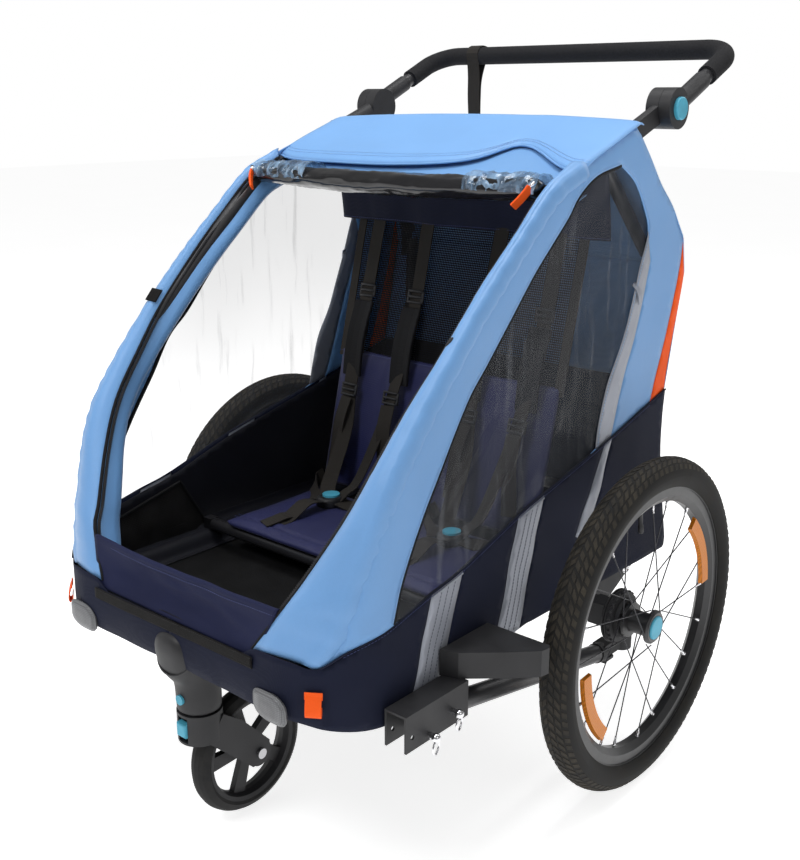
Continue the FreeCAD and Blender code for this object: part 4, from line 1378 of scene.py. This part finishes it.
def floor_liners():
    """Dark cloth over the side tubes and the nose tube, down to the ribbed mat."""
    for side in (-1, 1):
        section = smooth(LINER, 4)
        rows = []
        for j in range(61):
            y = -486 + 656 * j / 60
            reach = reach_inside(y, 9)
            row = [pt(side * min(q[0], reach), y, q[1] + 0.8 * rumple(y, q[0] * 2, 141, 40)) for q in section]
            rows.append(row if side > 0 else row[::-1])
        liner = add_grid("floor_liner_" + TAGS[side], rows, M["lining"], "chassis",
                         "navy_fabric")
        cut_size(liner)
        thicken(liner, 0.9)
    rows = []
    for y, z in smooth(NOSE_LINER, 4):
        over_clamp = 7.0 * ease(z, 288, 302) * ease(-y, 490, 506)
        half = min(246.0, reach_inside(y, 11))
        rows.append([pt(x, y, z + over_clamp * math.exp(-(x / 46) ** 4) + 0.8 * rumple(x, y, 143, 40))
                     for x in [half * (i / 40 - 1) for i in range(81)]])
    liner = add_grid("nose_liner", rows, M["lining"], "chassis", "navy_fabric")
    cut_size(liner)
    thicken(liner, 0.9)


def nose_strip():
    """Hook-and-loop strip sewn along the nose seam, for the front cover's hem."""
    rows = []
    for j in range(7):
        z = 320.5 + 15.5 * j / 6
        lift = 1.6 + 0.5 * math.sin(math.pi * j / 6)
        rows.append([pt(x, NOSE_Y - lift - 1.0, z + 1.5 * math.sin(x / 90)) for x in
                     [-160 + 320 * i / 80 for i in range(81)]])
    strip = add_grid("nose_strip", rows, M["fuzz"], "chassis", "black_webbing")
    cut_size(strip)
    thicken(strip, 1.4)
    for k, row in enumerate((rows[0], rows[-1])):
        inset_row = [p + Vector((0, -0.3 * MM, (1.6 if k == 0 else -1.6) * MM)) for p in row]
        stitches("nose_strip_stitch_%d" % k, inset_row, "chassis", every=4.0, long=2.5, thread="black_thread")


def rear_profile(z):
    """The side fabric's rear edge and the back cover's middle line, as Y at a height."""
    edge = interpolate([(275, 219), (291, 225), (372, 206), (441, 193), (500, 190), (547, 193), (636, 212),
                        (725, 232), (778, 222), (823, 185), (870, 130), (944, 60)], z)
    middle = interpolate([(275, 224), (318, 227), (548, 229), (728, 232), (768, 226), (937, 66)], z)
    return edge, middle


def rear_point(x, z, lift=0.0, seed=121, slack=2.0):
    edge, middle = rear_profile(z)
    wrap = ease(abs(x), 248, 291)
    y = middle + (edge - middle) * wrap + lift
    y += slack * rumple(x * 0.8, z, seed, 60) * (1 - wrap)
    return pt(x, y, z)


def folds_with_rear(obj):
    """Rides on the chassis, with a mesh of its own."""
    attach(obj, "chassis")
    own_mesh(obj)
    return obj


def rear_patch(name, x0, x1, z0, z1, material, slot, lift=0.0, seed=121, slack=2.0, thick=1.3):
    """A piece of the back cover between two heights, as a sheet that follows its shape, and its area."""
    across = max(4, round((x1 - x0) / 9))
    rise = max(4, round((z1 - z0) / 9))
    rows = [[rear_point(x0 + (x1 - x0) * i / across, z0 + (z1 - z0) * j / rise, lift, seed, slack)
             for i in range(across + 1)] for j in range(rise + 1)]
    obj = add_grid(name, [row[::-1] for row in rows], material, slot=slot)
    thicken(obj, thick)
    area = sum((a[0] - b[0]).length for a, b in zip(rows, rows[1:])) * (x1 - x0) * MM
    return folds_with_rear(obj), area


def rear_cover():
    """Back of the body: blue top, dark net window and a navy lower panel with a flat pocket."""
    parts = (("rear_top", -291, 291, 735, 944, "blue", "blue_fabric", 0.0),
             ("rear_middle", -291, 291, 547, 735, "blue", "blue_fabric", 0.0),
             ("rear_lower", -291, 291, 277, 547, "navy", "navy_fabric", 0.0))
    for name, x0, x1, z0, z1, key, slot, lift in parts:
        obj, area = rear_patch(name, x0, x1, z0, z1, M[key], slot, lift)
        if name == "rear_top":
            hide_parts("rear_panel")
    for name, half, z0, z1, key, slot in (("rear_window", 190, 600, 752, "fine_net", "black_webbing"),
                                          ("rear_pocket", 200, 352, 502, "navy_front", "navy_fabric")):
        back, area = rear_patch(name, -half, half, z0, z1, M[key], slot, 4.0, 127, 2.6)
        corner = 26
        ring = [rear_point(x, z, 5.4, 127, 2.6) for x, z in rounded_ring(-half, half, z0, z1, corner)]
        folds_with_rear(tube_along(name + "_piping", ring, 2.6 * MM, M["piping"], slot="black_webbing",
                                   ends=False))
    tape = rear_patch("rear_tape_band", -288, 288, 524, 545, M["tape"], "navy_fabric", 2.2, thick=0.6)[0]
    cut_size(tape)


def rounded_ring(x0, x1, z0, z1, r):
    """A rounded rectangle as (x, z) points, closed."""
    out = []
    for cx, cz, start in ((x1 - r, z1 - r, 0), (x0 + r, z1 - r, 90), (x0 + r, z0 + r, 180),
                          (x1 - r, z0 + r, 270)):
        for k in range(9):
            a = math.radians(start + 90 * k / 8)
            out.append((cx + r * math.cos(a), cz + r * math.sin(a)))
    return straight(out + out[:1], 9)


# ------------------------------------------------------------------ small sewn parts
def pull_loops():
    """Folded orange tabs: one at each nose corner and one on each zip."""
    for side in (-1, 1):
        tag = TAGS[side]
        x, y, nx, ny = plan(-551)
        mid = pt(x, y, 299)
        out = Vector((nx, ny, 0))
        along = Vector((-ny, nx, 0))
        path = [mid + out * 1.5 * MM + Vector((0, 0, 13 * MM)), mid + out * 5 * MM + Vector((0, 0, 6 * MM)),
                mid + out * 8.5 * MM - Vector((0, 0, 8 * MM)), mid + out * 7.5 * MM - Vector((0, 0, 15 * MM)),
                mid + out * 4.0 * MM - Vector((0, 0, 14 * MM)), mid + out * 2.5 * MM - Vector((0, 0, 4 * MM))]
        path = on_side(smooth(path, 0.003), side)
        across = Vector((along.x * side, along.y, 0))
        tab = ribbon("pull_loop_" + tag, path, 20, 1.6, across, M["orange"], "chassis", "amber_lens")
        modifier(tab, "BEVEL", width=0.5 * MM, segments=2)
        base = on_side([mid + out * off * MM + Vector((0, 0, rise * MM))
                        for off, rise in ((2.6, 15), (3.2, 11), (3.4, 6))], side)
        ribbon("pull_loop_base_" + tag, base, 22, 1.2, across, M["orange"], "chassis", "amber_lens")
        top = pt(259 * side, -150, 862)
        lead = [top + Vector((3 * side * MM, 2 * MM, 10 * MM)), top + Vector((0, -4 * MM, 2 * MM)),
                top + Vector((-5 * side * MM, -9 * MM, -6 * MM)),
                top + Vector((-12 * side * MM, -14 * MM, -15 * MM))]
        pull = ribbon("zip_pull_" + tag, smooth(lead, 0.003), 11, 3.4, (0.3 * side, 0.7, -0.6), M["orange"],
                      "hoop", "amber_lens")
        modifier(pull, "BEVEL", width=1.0 * MM, segments=3)
        cord = [top + Vector((7 * side * MM, 6 * MM, 16 * MM)),
                top + Vector((3 * side * MM, 2 * MM, 10 * MM))]
        tube_along("zip_slider_" + tag, cord, 3.0 * MM, M["chrome"], "hoop", "pin_steel")


def zips(rows):
    """Zip at each side of the front opening: tape and teeth."""
    for side in (-1, 1):
        tag = TAGS[side]
        edge = on_side([row[-1] for row in rows], side)
        inward = Vector((-side, 0, 0))
        verts, faces = [], []
        marks = resample([p + (inward * 5.0 + Vector((0, 3.0, -1.0))) * MM for p in edge],
                         2 * int(len(edge) * 3.4))
        for k in range(len(marks) - 1):
            p, q = marks[k], marks[k + 1]
            d = (q - p).normalized()
            n = d.cross(inward).normalized()
            c = p.lerp(q, 0.5) + inward * (0.9 if k % 2 else -0.9) * MM
            base = len(verts)
            for a in (-1, 1):
                for b in (-1, 1):
                    for e in (-1, 1):
                        verts.append(c + inward * a * 2.2 * MM + d * b * 0.9 * MM + n * e * 1.0 * MM)
            for f in ((0, 1, 3, 2), (4, 6, 7, 5), (0, 4, 5, 1), (2, 3, 7, 6), (0, 2, 6, 4), (1, 5, 7, 3)):
                faces.append(tuple(base + i for i in f))
        add("zip_teeth_" + tag, verts, faces, M["plastic"], "hoop", "black_plastic", smooth_shade=False)
        tape_rows = []
        for p in edge:
            tape_rows.append([p + (inward * u + Vector((0, 2.6 + 0.12 * u, -1.0 - 0.05 * u))) * MM
                              for u in (-3, 0, 3, 5)])
        strip = add_grid("zip_tape_" + tag, tape_rows if side < 0 else [r[::-1] for r in tape_rows],
                         M["piping"],
                         "hoop", "black_webbing")
        cut_size(strip)
        thicken(strip, 0.9)


def band_details(rows):
    """Snap on the right cover, hook-and-loop patch on the left, at the height of the front cover's tabs."""
    def nearest(y, z, column):
        best = min(rows, key=lambda row: (row[column] - pt(row[column].x / MM, y, z)).length)
        k = rows.index(best)
        a, b = rows[max(k - 1, 0)][column], rows[min(k + 1, len(rows) - 1)][column]
        return best, (b - a).normalized()

    row, along = nearest(-306, 684, 6)
    across = (row[9] - row[3]).normalized()
    out = across.cross(along).normalized()
    if out.z < 0:
        out = -out
    rings = []
    for r, h in ((5.2, 0.0), (5.2, 1.2), (4.2, 2.4), (2.6, 2.6), (1.4, 1.6), (0.4, 1.4)):
        rings.append([row[6] + (across * math.cos(a) + along * math.sin(a)) * r * MM + out * (h + 0.6) * MM
                      for a in [2 * math.pi * k / 20 for k in range(20)]])
    snap = add_grid("cover_snap", rings, M["plastic"], "hoop", "black_plastic", close_v=True)
    snap.data.update()
    row, along = nearest(-331, 699, 5)
    path = [Vector((-(p.x), p.y, p.z)) for p in (row[5] - along * 11 * MM, row[5], row[5] + along * 11 * MM)]
    side_dir = (row[8] - row[2]).normalized()
    patch = ribbon("cover_patch", [p + Vector((0, -1.2, 1.6)) * MM for p in path], 20, 2.2,
                   Vector((-side_dir.x, side_dir.y, side_dir.z)), M["fuzz"], "hoop", "black_webbing")
    modifier(patch, "BEVEL", width=0.6 * MM, segments=2)


def seam_threads():
    """Pale stitching round the windows and along the top of the dark skirt."""
    front = [q for q in smooth(WINDOW_FRONT, 8)]
    rear = [q for q in smooth(WINDOW_REAR, 8)]
    skirt = [q for q in TOP_S if -520 < q.x < 150]
    for side in (-1, 1):
        tag = TAGS[side]
        for key, ring, ds, dz, lift, cover in (("window_front", front, -4.0, 3.0, side_lift, True),
                                               ("window_rear", rear, 4.0, 1.0, side_lift, True),
                                               ("skirt_top", skirt, 0.0, -3.2, skirt_lift, False)):
            path = on_side([to_world(q.x + ds, q.y + dz, lift, 1.0) for q in ring], side)
            thread = "thread" if cover else "navy_thread"
            line = stitches("%s_stitch_%s" % (key, tag), path, None, thread=thread)
            if cover:
                folds_with_side(line)
            else:
                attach(line, "chassis")
        for key, (a, b, c, d) in TAPES.items():
            for share in (0.3, 0.52, 0.74):
                s0, s1 = a + (b - a) * share, d + (c - d) * share
                z0, z1 = interpolate(SKIRT_TOP, s0) - 8, interpolate(SKIRT_BOTTOM, s1) + 5
                path = on_side([to_world(s0 + (s1 - s0) * k / 24, z0 + (z1 - z0) * k / 24, skirt_lift, 1.1)
                                for k in range(25)], side)
                stitches("%s_stitch_%s_%d" % (key, tag, share * 100), path, "chassis", thread="tape_thread")
            hem = on_side([to_world(s0, interpolate(SKIRT_TOP, s0) - 5, skirt_lift, 1.0)
                           for s0 in [a + 1 + (b - a - 2) * k / 12 for k in range(13)]], side)
            tube_along("%s_hem_%s" % (key, tag), hem, 1.3 * MM, M["tape"], "chassis", "navy_fabric")
        bound = on_side([to_world(q.x, q.y, side_lift, -2.2) for q in front], side)
        folds_with_side(tube_along("window_binding_" + tag, bound, 3.0 * MM, M["piping"],
                                   slot="black_webbing"))
        seam = on_side([to_world(q.x, q.y, skirt_lift, 1.0) for q in TOP_S if q.x > -548], side)
        tube_along("skirt_seam_" + tag, seam, 1.2 * MM, M["navy"], "chassis", "navy_fabric")
    for side in (-1, 1):
        points = ((283, 84, 724), (288, 88, 716), (290.5, 91, 706), (290.5, 94, 694))
        path = smooth([pt((x + 4.5) * side, y, z) for x, y, z in points], 0.004)
        folds_with_side(ribbon("side_loop_" + TAGS[side], path, 9, 1.2, (0, 1, 0.3), M["tape"],
                               slot="blue_fabric"))


def wrist_strap():
    """Webbing loop sewn round the left end of the grip bar, hanging double."""
    low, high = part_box("wrist_strap")
    x = (low[0] + high[0]) / 2
    width = (high[0] - low[0]) / MM
    radius = 16.6 * MM
    centre = Vector((x, (low[1] + high[1]) / 2 + 0.001, high[2] - radius))
    points = []
    for k in range(17):
        a = math.radians(250 - 250 * k / 16 - 20)
        points.append(centre + Vector((0, math.cos(a), math.sin(a))) * radius)
    tail = Vector((x, points[0].y, low[2]))
    first = [tail + Vector((0.001, 0.004, 0.004)), tail + Vector((0.002, 0.001, 0.04)),
             tail + Vector((0.001, -0.001, 0.08)), tail + Vector((0, 0.0, 0.115))]
    second = [tail + Vector((0, 0.008, 0.112)), tail + Vector((0, 0.005, 0.078)),
              tail + Vector((0, 0.005, 0.04)), tail + Vector((-0.001, 0.006, 0.004))]
    path = smooth(first + points[1:-1:3] + second, 0.006)
    band = ribbon("hand_strap", path, width, 1.8, (1, 0, 0), M["webbing"], "handle", "black_webbing")
    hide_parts("wrist_strap")


# ------------------------------------------------------------------ running gear details
WHEEL_X, WHEEL_R, RIM_INNER = 382.0, 247.5, 184.0
SPOKES = 10


def tread(side):
    """Raised chevrons on the tyre: a centre pair, a middle pair and shoulder blocks."""
    tag = TAGS[side]
    tube_r = 23.5
    count = 104
    verts, faces = [], []

    def place(phi, theta, h):
        r = WHEEL_R - tube_r + (tube_r + h) * math.cos(phi)
        return pt(side * (WHEEL_X + (tube_r + h) * math.sin(phi)), r * math.cos(theta),
                  WHEEL_R + r * math.sin(theta))

    pitch = 2 * math.pi / count
    columns = ((0.03, 0.34, 0.55), (0.40, 0.72, 0.75), (0.79, 1.12, 0.35))
    for i in range(count):
        for mirror in (-1, 1):
            for k, (a, b, slant) in enumerate(columns):
                t0 = pitch * (i + 0.5 * (k % 2) + (0.25 if mirror > 0 else 0.0))
                lean = pitch * slant
                high = 0.9 if k < 2 else 0.6
                base = len(verts)
                outline = ((a, 0.0), (b, lean), (b, lean + pitch * 0.66), (a, pitch * 0.66))
                for h, shrink in ((-0.2, 0.0), (high, 0.12)):
                    for phi, dt in outline:
                        mid_phi, mid_t = (a + b) / 2, (lean + pitch * 0.66) / 2
                        p = phi + (mid_phi - phi) * shrink
                        d = dt + (mid_t - dt) * shrink
                        verts.append(place(p * mirror, t0 + d, h))
                ring = [(0, 1, 5, 4), (1, 2, 6, 5), (2, 3, 7, 6), (3, 0, 4, 7), (4, 5, 6, 7)]
                flip = mirror * side > 0
                for f in ring:
                    f = tuple(base + n for n in f)
                    faces.append(f if flip else f[::-1])
    add("tread_" + tag, verts, faces, M["tread"], "wheel_" + tag, "tyre_rubber", smooth_shade=False)


def turned(name, start, direction, profile, material, body, slot, sides=16):
    """A turned piece: (distance, radius) pairs along a direction."""
    d = Vector(direction).normalized()
    side = d.orthogonal().normalized()
    up = d.cross(side)
    rows = [[start + d * along * MM + (side * math.cos(a) + up * math.sin(a)) * r * MM for a in circle(sides)]
            for along, r in profile]
    return skin(name, rows, material, body, slot)


def wheel_details(side):
    """Spoke nipples, a tyre valve and the line where the tyre meets the rim."""
    tag = TAGS[side]
    body = "wheel_" + tag
    nipples = []
    step = 360.0 / SPOKES
    for flange, rim_x, phase in ((362.6, WHEEL_X - 3, 0.0), (398.0, WHEEL_X + 3, step / 2)):
        for i in range(SPOKES):
            a = math.radians(step * i + phase)
            lean = (1 if i % 2 else -1) * math.radians(62)
            p = pt(side * flange, 27.2 * math.cos(a + lean), WHEEL_R + 27.2 * math.sin(a + lean))
            q = pt(side * rim_x, (RIM_INNER + 0.4) * math.cos(a), WHEEL_R + (RIM_INNER + 0.4) * math.sin(a))
            nipples.append(turned("nipple", q, p - q,
                                  ((-1, 3.4), (0.6, 3.2), (0.8, 2.3), (7, 2.3), (7.6, 1.7), (13, 1.5)),
                                  M["chrome"], None, None, 8))
    group = join("spoke_nipples_" + tag, nipples)
    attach(group, body)
    a = math.radians(99)
    out = Vector((0, -math.cos(a), -math.sin(a)))
    foot = pt(side * WHEEL_X, 185 * math.cos(a), WHEEL_R + 185 * math.sin(a))
    turned("tyre_valve_" + tag, foot, out, ((0, 6), (2, 5.6), (4, 3.6), (22, 3.2), (23, 4.0), (33, 4.0),
                                            (35, 3.0)),
           M["plastic"], body, "black_plastic")
    for k, (x, r) in enumerate(((WHEEL_X - 13.6, 207.5), (WHEEL_X + 13.6, 207.5))):
        ring = [pt(side * x, r * math.cos(2 * math.pi * i / 96), WHEEL_R + r * math.sin(2 * math.pi * i / 96))
                for i in range(97)]
        tube_along("rim_lip_%s_%d" % (tag, k), ring, 1.3 * MM, M["rim"], body, "black_rim", sides=8,
                   ends=False)


def carrier_details(side):
    """Toothed ring, bolts and a ribbed boot on the fixed housing behind each hub."""
    tag = TAGS[side]
    parts = []
    for i in range(24):
        a = 2 * math.pi * i / 24
        mid = pt(side * 347, 38 * math.cos(a), WHEEL_R + 38 * math.sin(a))
        out = Vector((0, math.cos(a), math.sin(a)))
        parts.append(turned("tooth", mid - out * 1 * MM, out, ((0, 3.0), (2.6, 2.8), (3.6, 1.8)),
                            M["plastic"], None,
                            None, 6))
    for x, r0, r1 in ((337, 39.5, 39.5), (341, 38.6, 38.6)):
        parts.append(tube_along("rib", [pt(side * x, r0 * math.cos(2 * math.pi * i / 64),
                                           WHEEL_R + r1 * math.sin(2 * math.pi * i / 64)) for i in range(65)],
                                1.3 * MM, M["plastic"], sides=6, ends=False))
    ring = join("carrier_ring_" + tag, parts)
    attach(ring, "chassis")
    bolts = []
    for x, y, z, r in ((283, 118, 268, 6.5), (283, -38, 288, 6.0)):
        start = pt(side * x, y, z)
        bolts.append(turned("bolt", start, (side, 0, 0),
                            ((-0.5, r * 1.25), (1.0, r * 1.25), (1.1, r), (4.4, r), (5.0, r * 0.8),
                            (5.0, r * 0.5), (2.6, r * 0.45)), M["chrome"], None, None, 12))
    fixings = join("gusset_bolts_" + tag, bolts)
    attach(fixings, "chassis")


def loft(name, sections, material, body, slot, sides=32):
    """A skin over oval sections of the side view: centre, half widths, tilt and squareness."""
    rows = []
    for y, z, half_x, half_d, tilt, power in sections:
        a = math.radians(tilt)
        fore = Vector((0, math.cos(a), math.sin(a)))
        row = []
        for t in circle(sides):
            c, s = math.cos(t), math.sin(t)
            u = math.copysign(abs(c) ** (2 / power), c) * half_x
            v = math.copysign(abs(s) ** (2 / power), s) * half_d
            row.append(pt(u, y, z) + fore * v * MM)
        rows.append(row)
    obj = skin(name, rows, material, body, slot)
    modifier(obj, "SUBSURF", levels=1, render_levels=1)
    return obj


def caster_neck():
    """Hooded neck of the front wheel, with its clamp round the nose tube."""
    sections = [(-512, 192.6, 29.6, 29.6, 0, 2.0), (-512, 194.5, 30.4, 30.4, 0, 2.0),
                (-512, 212, 30.6, 30.6, 2, 2.1),
                (-513, 230, 30.2, 30.2, 8, 2.1), (-516, 246, 29.6, 30.2, 18, 2.1),
                (-521, 260, 31.0, 33, 30, 2.2),
                (-528, 272, 33.0, 35, 42, 2.3), (-537, 283, 34.6, 35, 52, 2.3),
                (-546, 291, 35.0, 31, 62, 2.3),
                (-554, 297, 32.0, 24.5, 70, 2.2), (-560, 301, 24.5, 16, 76, 2.1),
                (-563.5, 303, 13, 8.0, 80, 2.0)]
    neck = loft("caster_neck", sections, M["plastic"], "chassis", "black_plastic")
    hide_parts("caster_bracket")
    turned("nose_clamp", pt(-34, -515, 294), (1, 0, 0),
           ((0, 14), (0, 17), (2, 19), (32, 20.5), (36, 20.5), (66, 19), (68, 17),
           (68, 14)), M["plastic"], "chassis", "black_plastic", 32)
    lip = [pt(35.2 * math.cos(math.radians(a)), -543 - 33.5 * math.sin(math.radians(a)) * 0.53,
              288.5 - 33.5 * math.sin(math.radians(a)) * 0.85) for a in range(-180, 181, 9)]
    tube_along("caster_neck_lip", lip, 1.6 * MM, M["plastic"], "chassis", "black_plastic", sides=8)


LENS_SHELLS = ((1.0, 0.6), (1.0, 3.4), (0.96, 5.6), (0.86, 7.4), (0.66, 8.7), (0.4, 9.3), (0.12, 9.5))


def front_lenses():
    """Clear front reflectors: pillow-shaped prism lens in a grey rim, sharp at two of its corners."""
    for side in (-1, 1):
        tag = TAGS[side]
        rows = []
        for scale, lift in LENS_SHELLS:
            row = []
            for t in circle(56):
                c, s = math.cos(t), math.sin(t)
                power = 0.92 if c * s > 0 else 0.42
                u = math.copysign(abs(c) ** power, c) * 27.5 * scale
                v = math.copysign(abs(s) ** power, s) * 18.5 * scale
                row.append(pt(side * 191 + u, NOSE_Y - lift - 0.4, 283 + v))
            rows.append(row[::-1])
        lens = skin("front_lens_" + tag, rows, M["clear_lens"], "chassis", "clear_lens")
        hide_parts("front_reflectors")
        edge = [p + Vector((0, -0.2 * MM, 0)) for p in rows[1] + rows[1][:1]]
        tube_along("front_lens_rim_" + tag, edge, 1.1 * MM, M["clear_rim"], "chassis", "clear_lens", sides=8,
                   ends=False)


BEVELS = {"caster_fork": 3.0, "wheel_guards": 6.0, "hitch_bracket": 0.8, "corner_connectors": 1.5,
          "axle_brackets": 1.5,
          "knuckle_arms": 1.6, "knuckle_bases": 1.2, "caster_core": 1.4, "tow_coupling": 1.5,
          "tow_socket": 1.2,
          "brake_pedal": 1.6, "spoke_reflectors_right": 1.0, "spoke_reflectors_left": 1.0}


def soften_edges():
    """Rounds the crisp edges of moulded parts."""
    for name, width in BEVELS.items():
        modifier(NODES[name], "BEVEL", width=width * MM, segments=3, limit_method="ANGLE",
                 angle_limit=math.radians(38), harden_normals=False)


FINISH = {
    "frame": "side_rails end_tubes seat_tube axle_beam side_hoops hoop_crossbars rear_frame handle_tube "
             "tow_bar",
    "plastic": "corner_connectors axle_brackets knuckle_bases knuckle_arms "
               "caster_fork caster_core wheel_guards hitch_bracket tow_socket tow_coupling brake_pedal",
    "steel": "axle_stubs caster_axle hub_bearings_right hub_bearings_left",
    "chrome": "hitch_pin_front hitch_pin_rear",
    "spoke": "spokes_right spokes_left",
    "rim": "rim_right rim_left hub_right hub_left",
    "tyre": "tyre_right tyre_left",
    "caster_tyre": "caster_tyre",
    "foam": "handle_grip",
    "cyan": "caster_release_button swivel_lock_tab knuckle_button_right knuckle_button_left "
            "buckle_button_right buckle_button_left hub_button_right hub_button_left",
    "amber": "spoke_reflectors_right spoke_reflectors_left",
    "mat": "floor_mat",
}


def finishes():
    """Gives every CAD node that still shows its material."""
    for key, names in FINISH.items():
        for name in names.split():
            mesh = NODES[name].data
            mesh.materials.clear()
            mesh.materials.append(M[key])


camera_and_light()
for name, right, left in place_sides():
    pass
for index in (0, 1):
    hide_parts("side_panels")
    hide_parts("side_windows")
    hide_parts("lower_cover")
band = hoop_bands()
zips(band)
band_details(band)
roof()
under_flap()
rolled_cover()
for tag, seat in SEATS:
    back_pad(tag, seat)
    harness(tag, seat)
    buckle(tag, seat)
back_net()
valance()
seat_cushion()
front_flap()
nose_strip()
floor_liners()
rear_cover()
pull_loops()
seam_threads()
wrist_strap()
caster_neck()
front_lenses()
for side in (1, -1):
    pocket(side)
    tread(side)
    wheel_details(side)
    carrier_details(side)
finishes()
soften_edges()
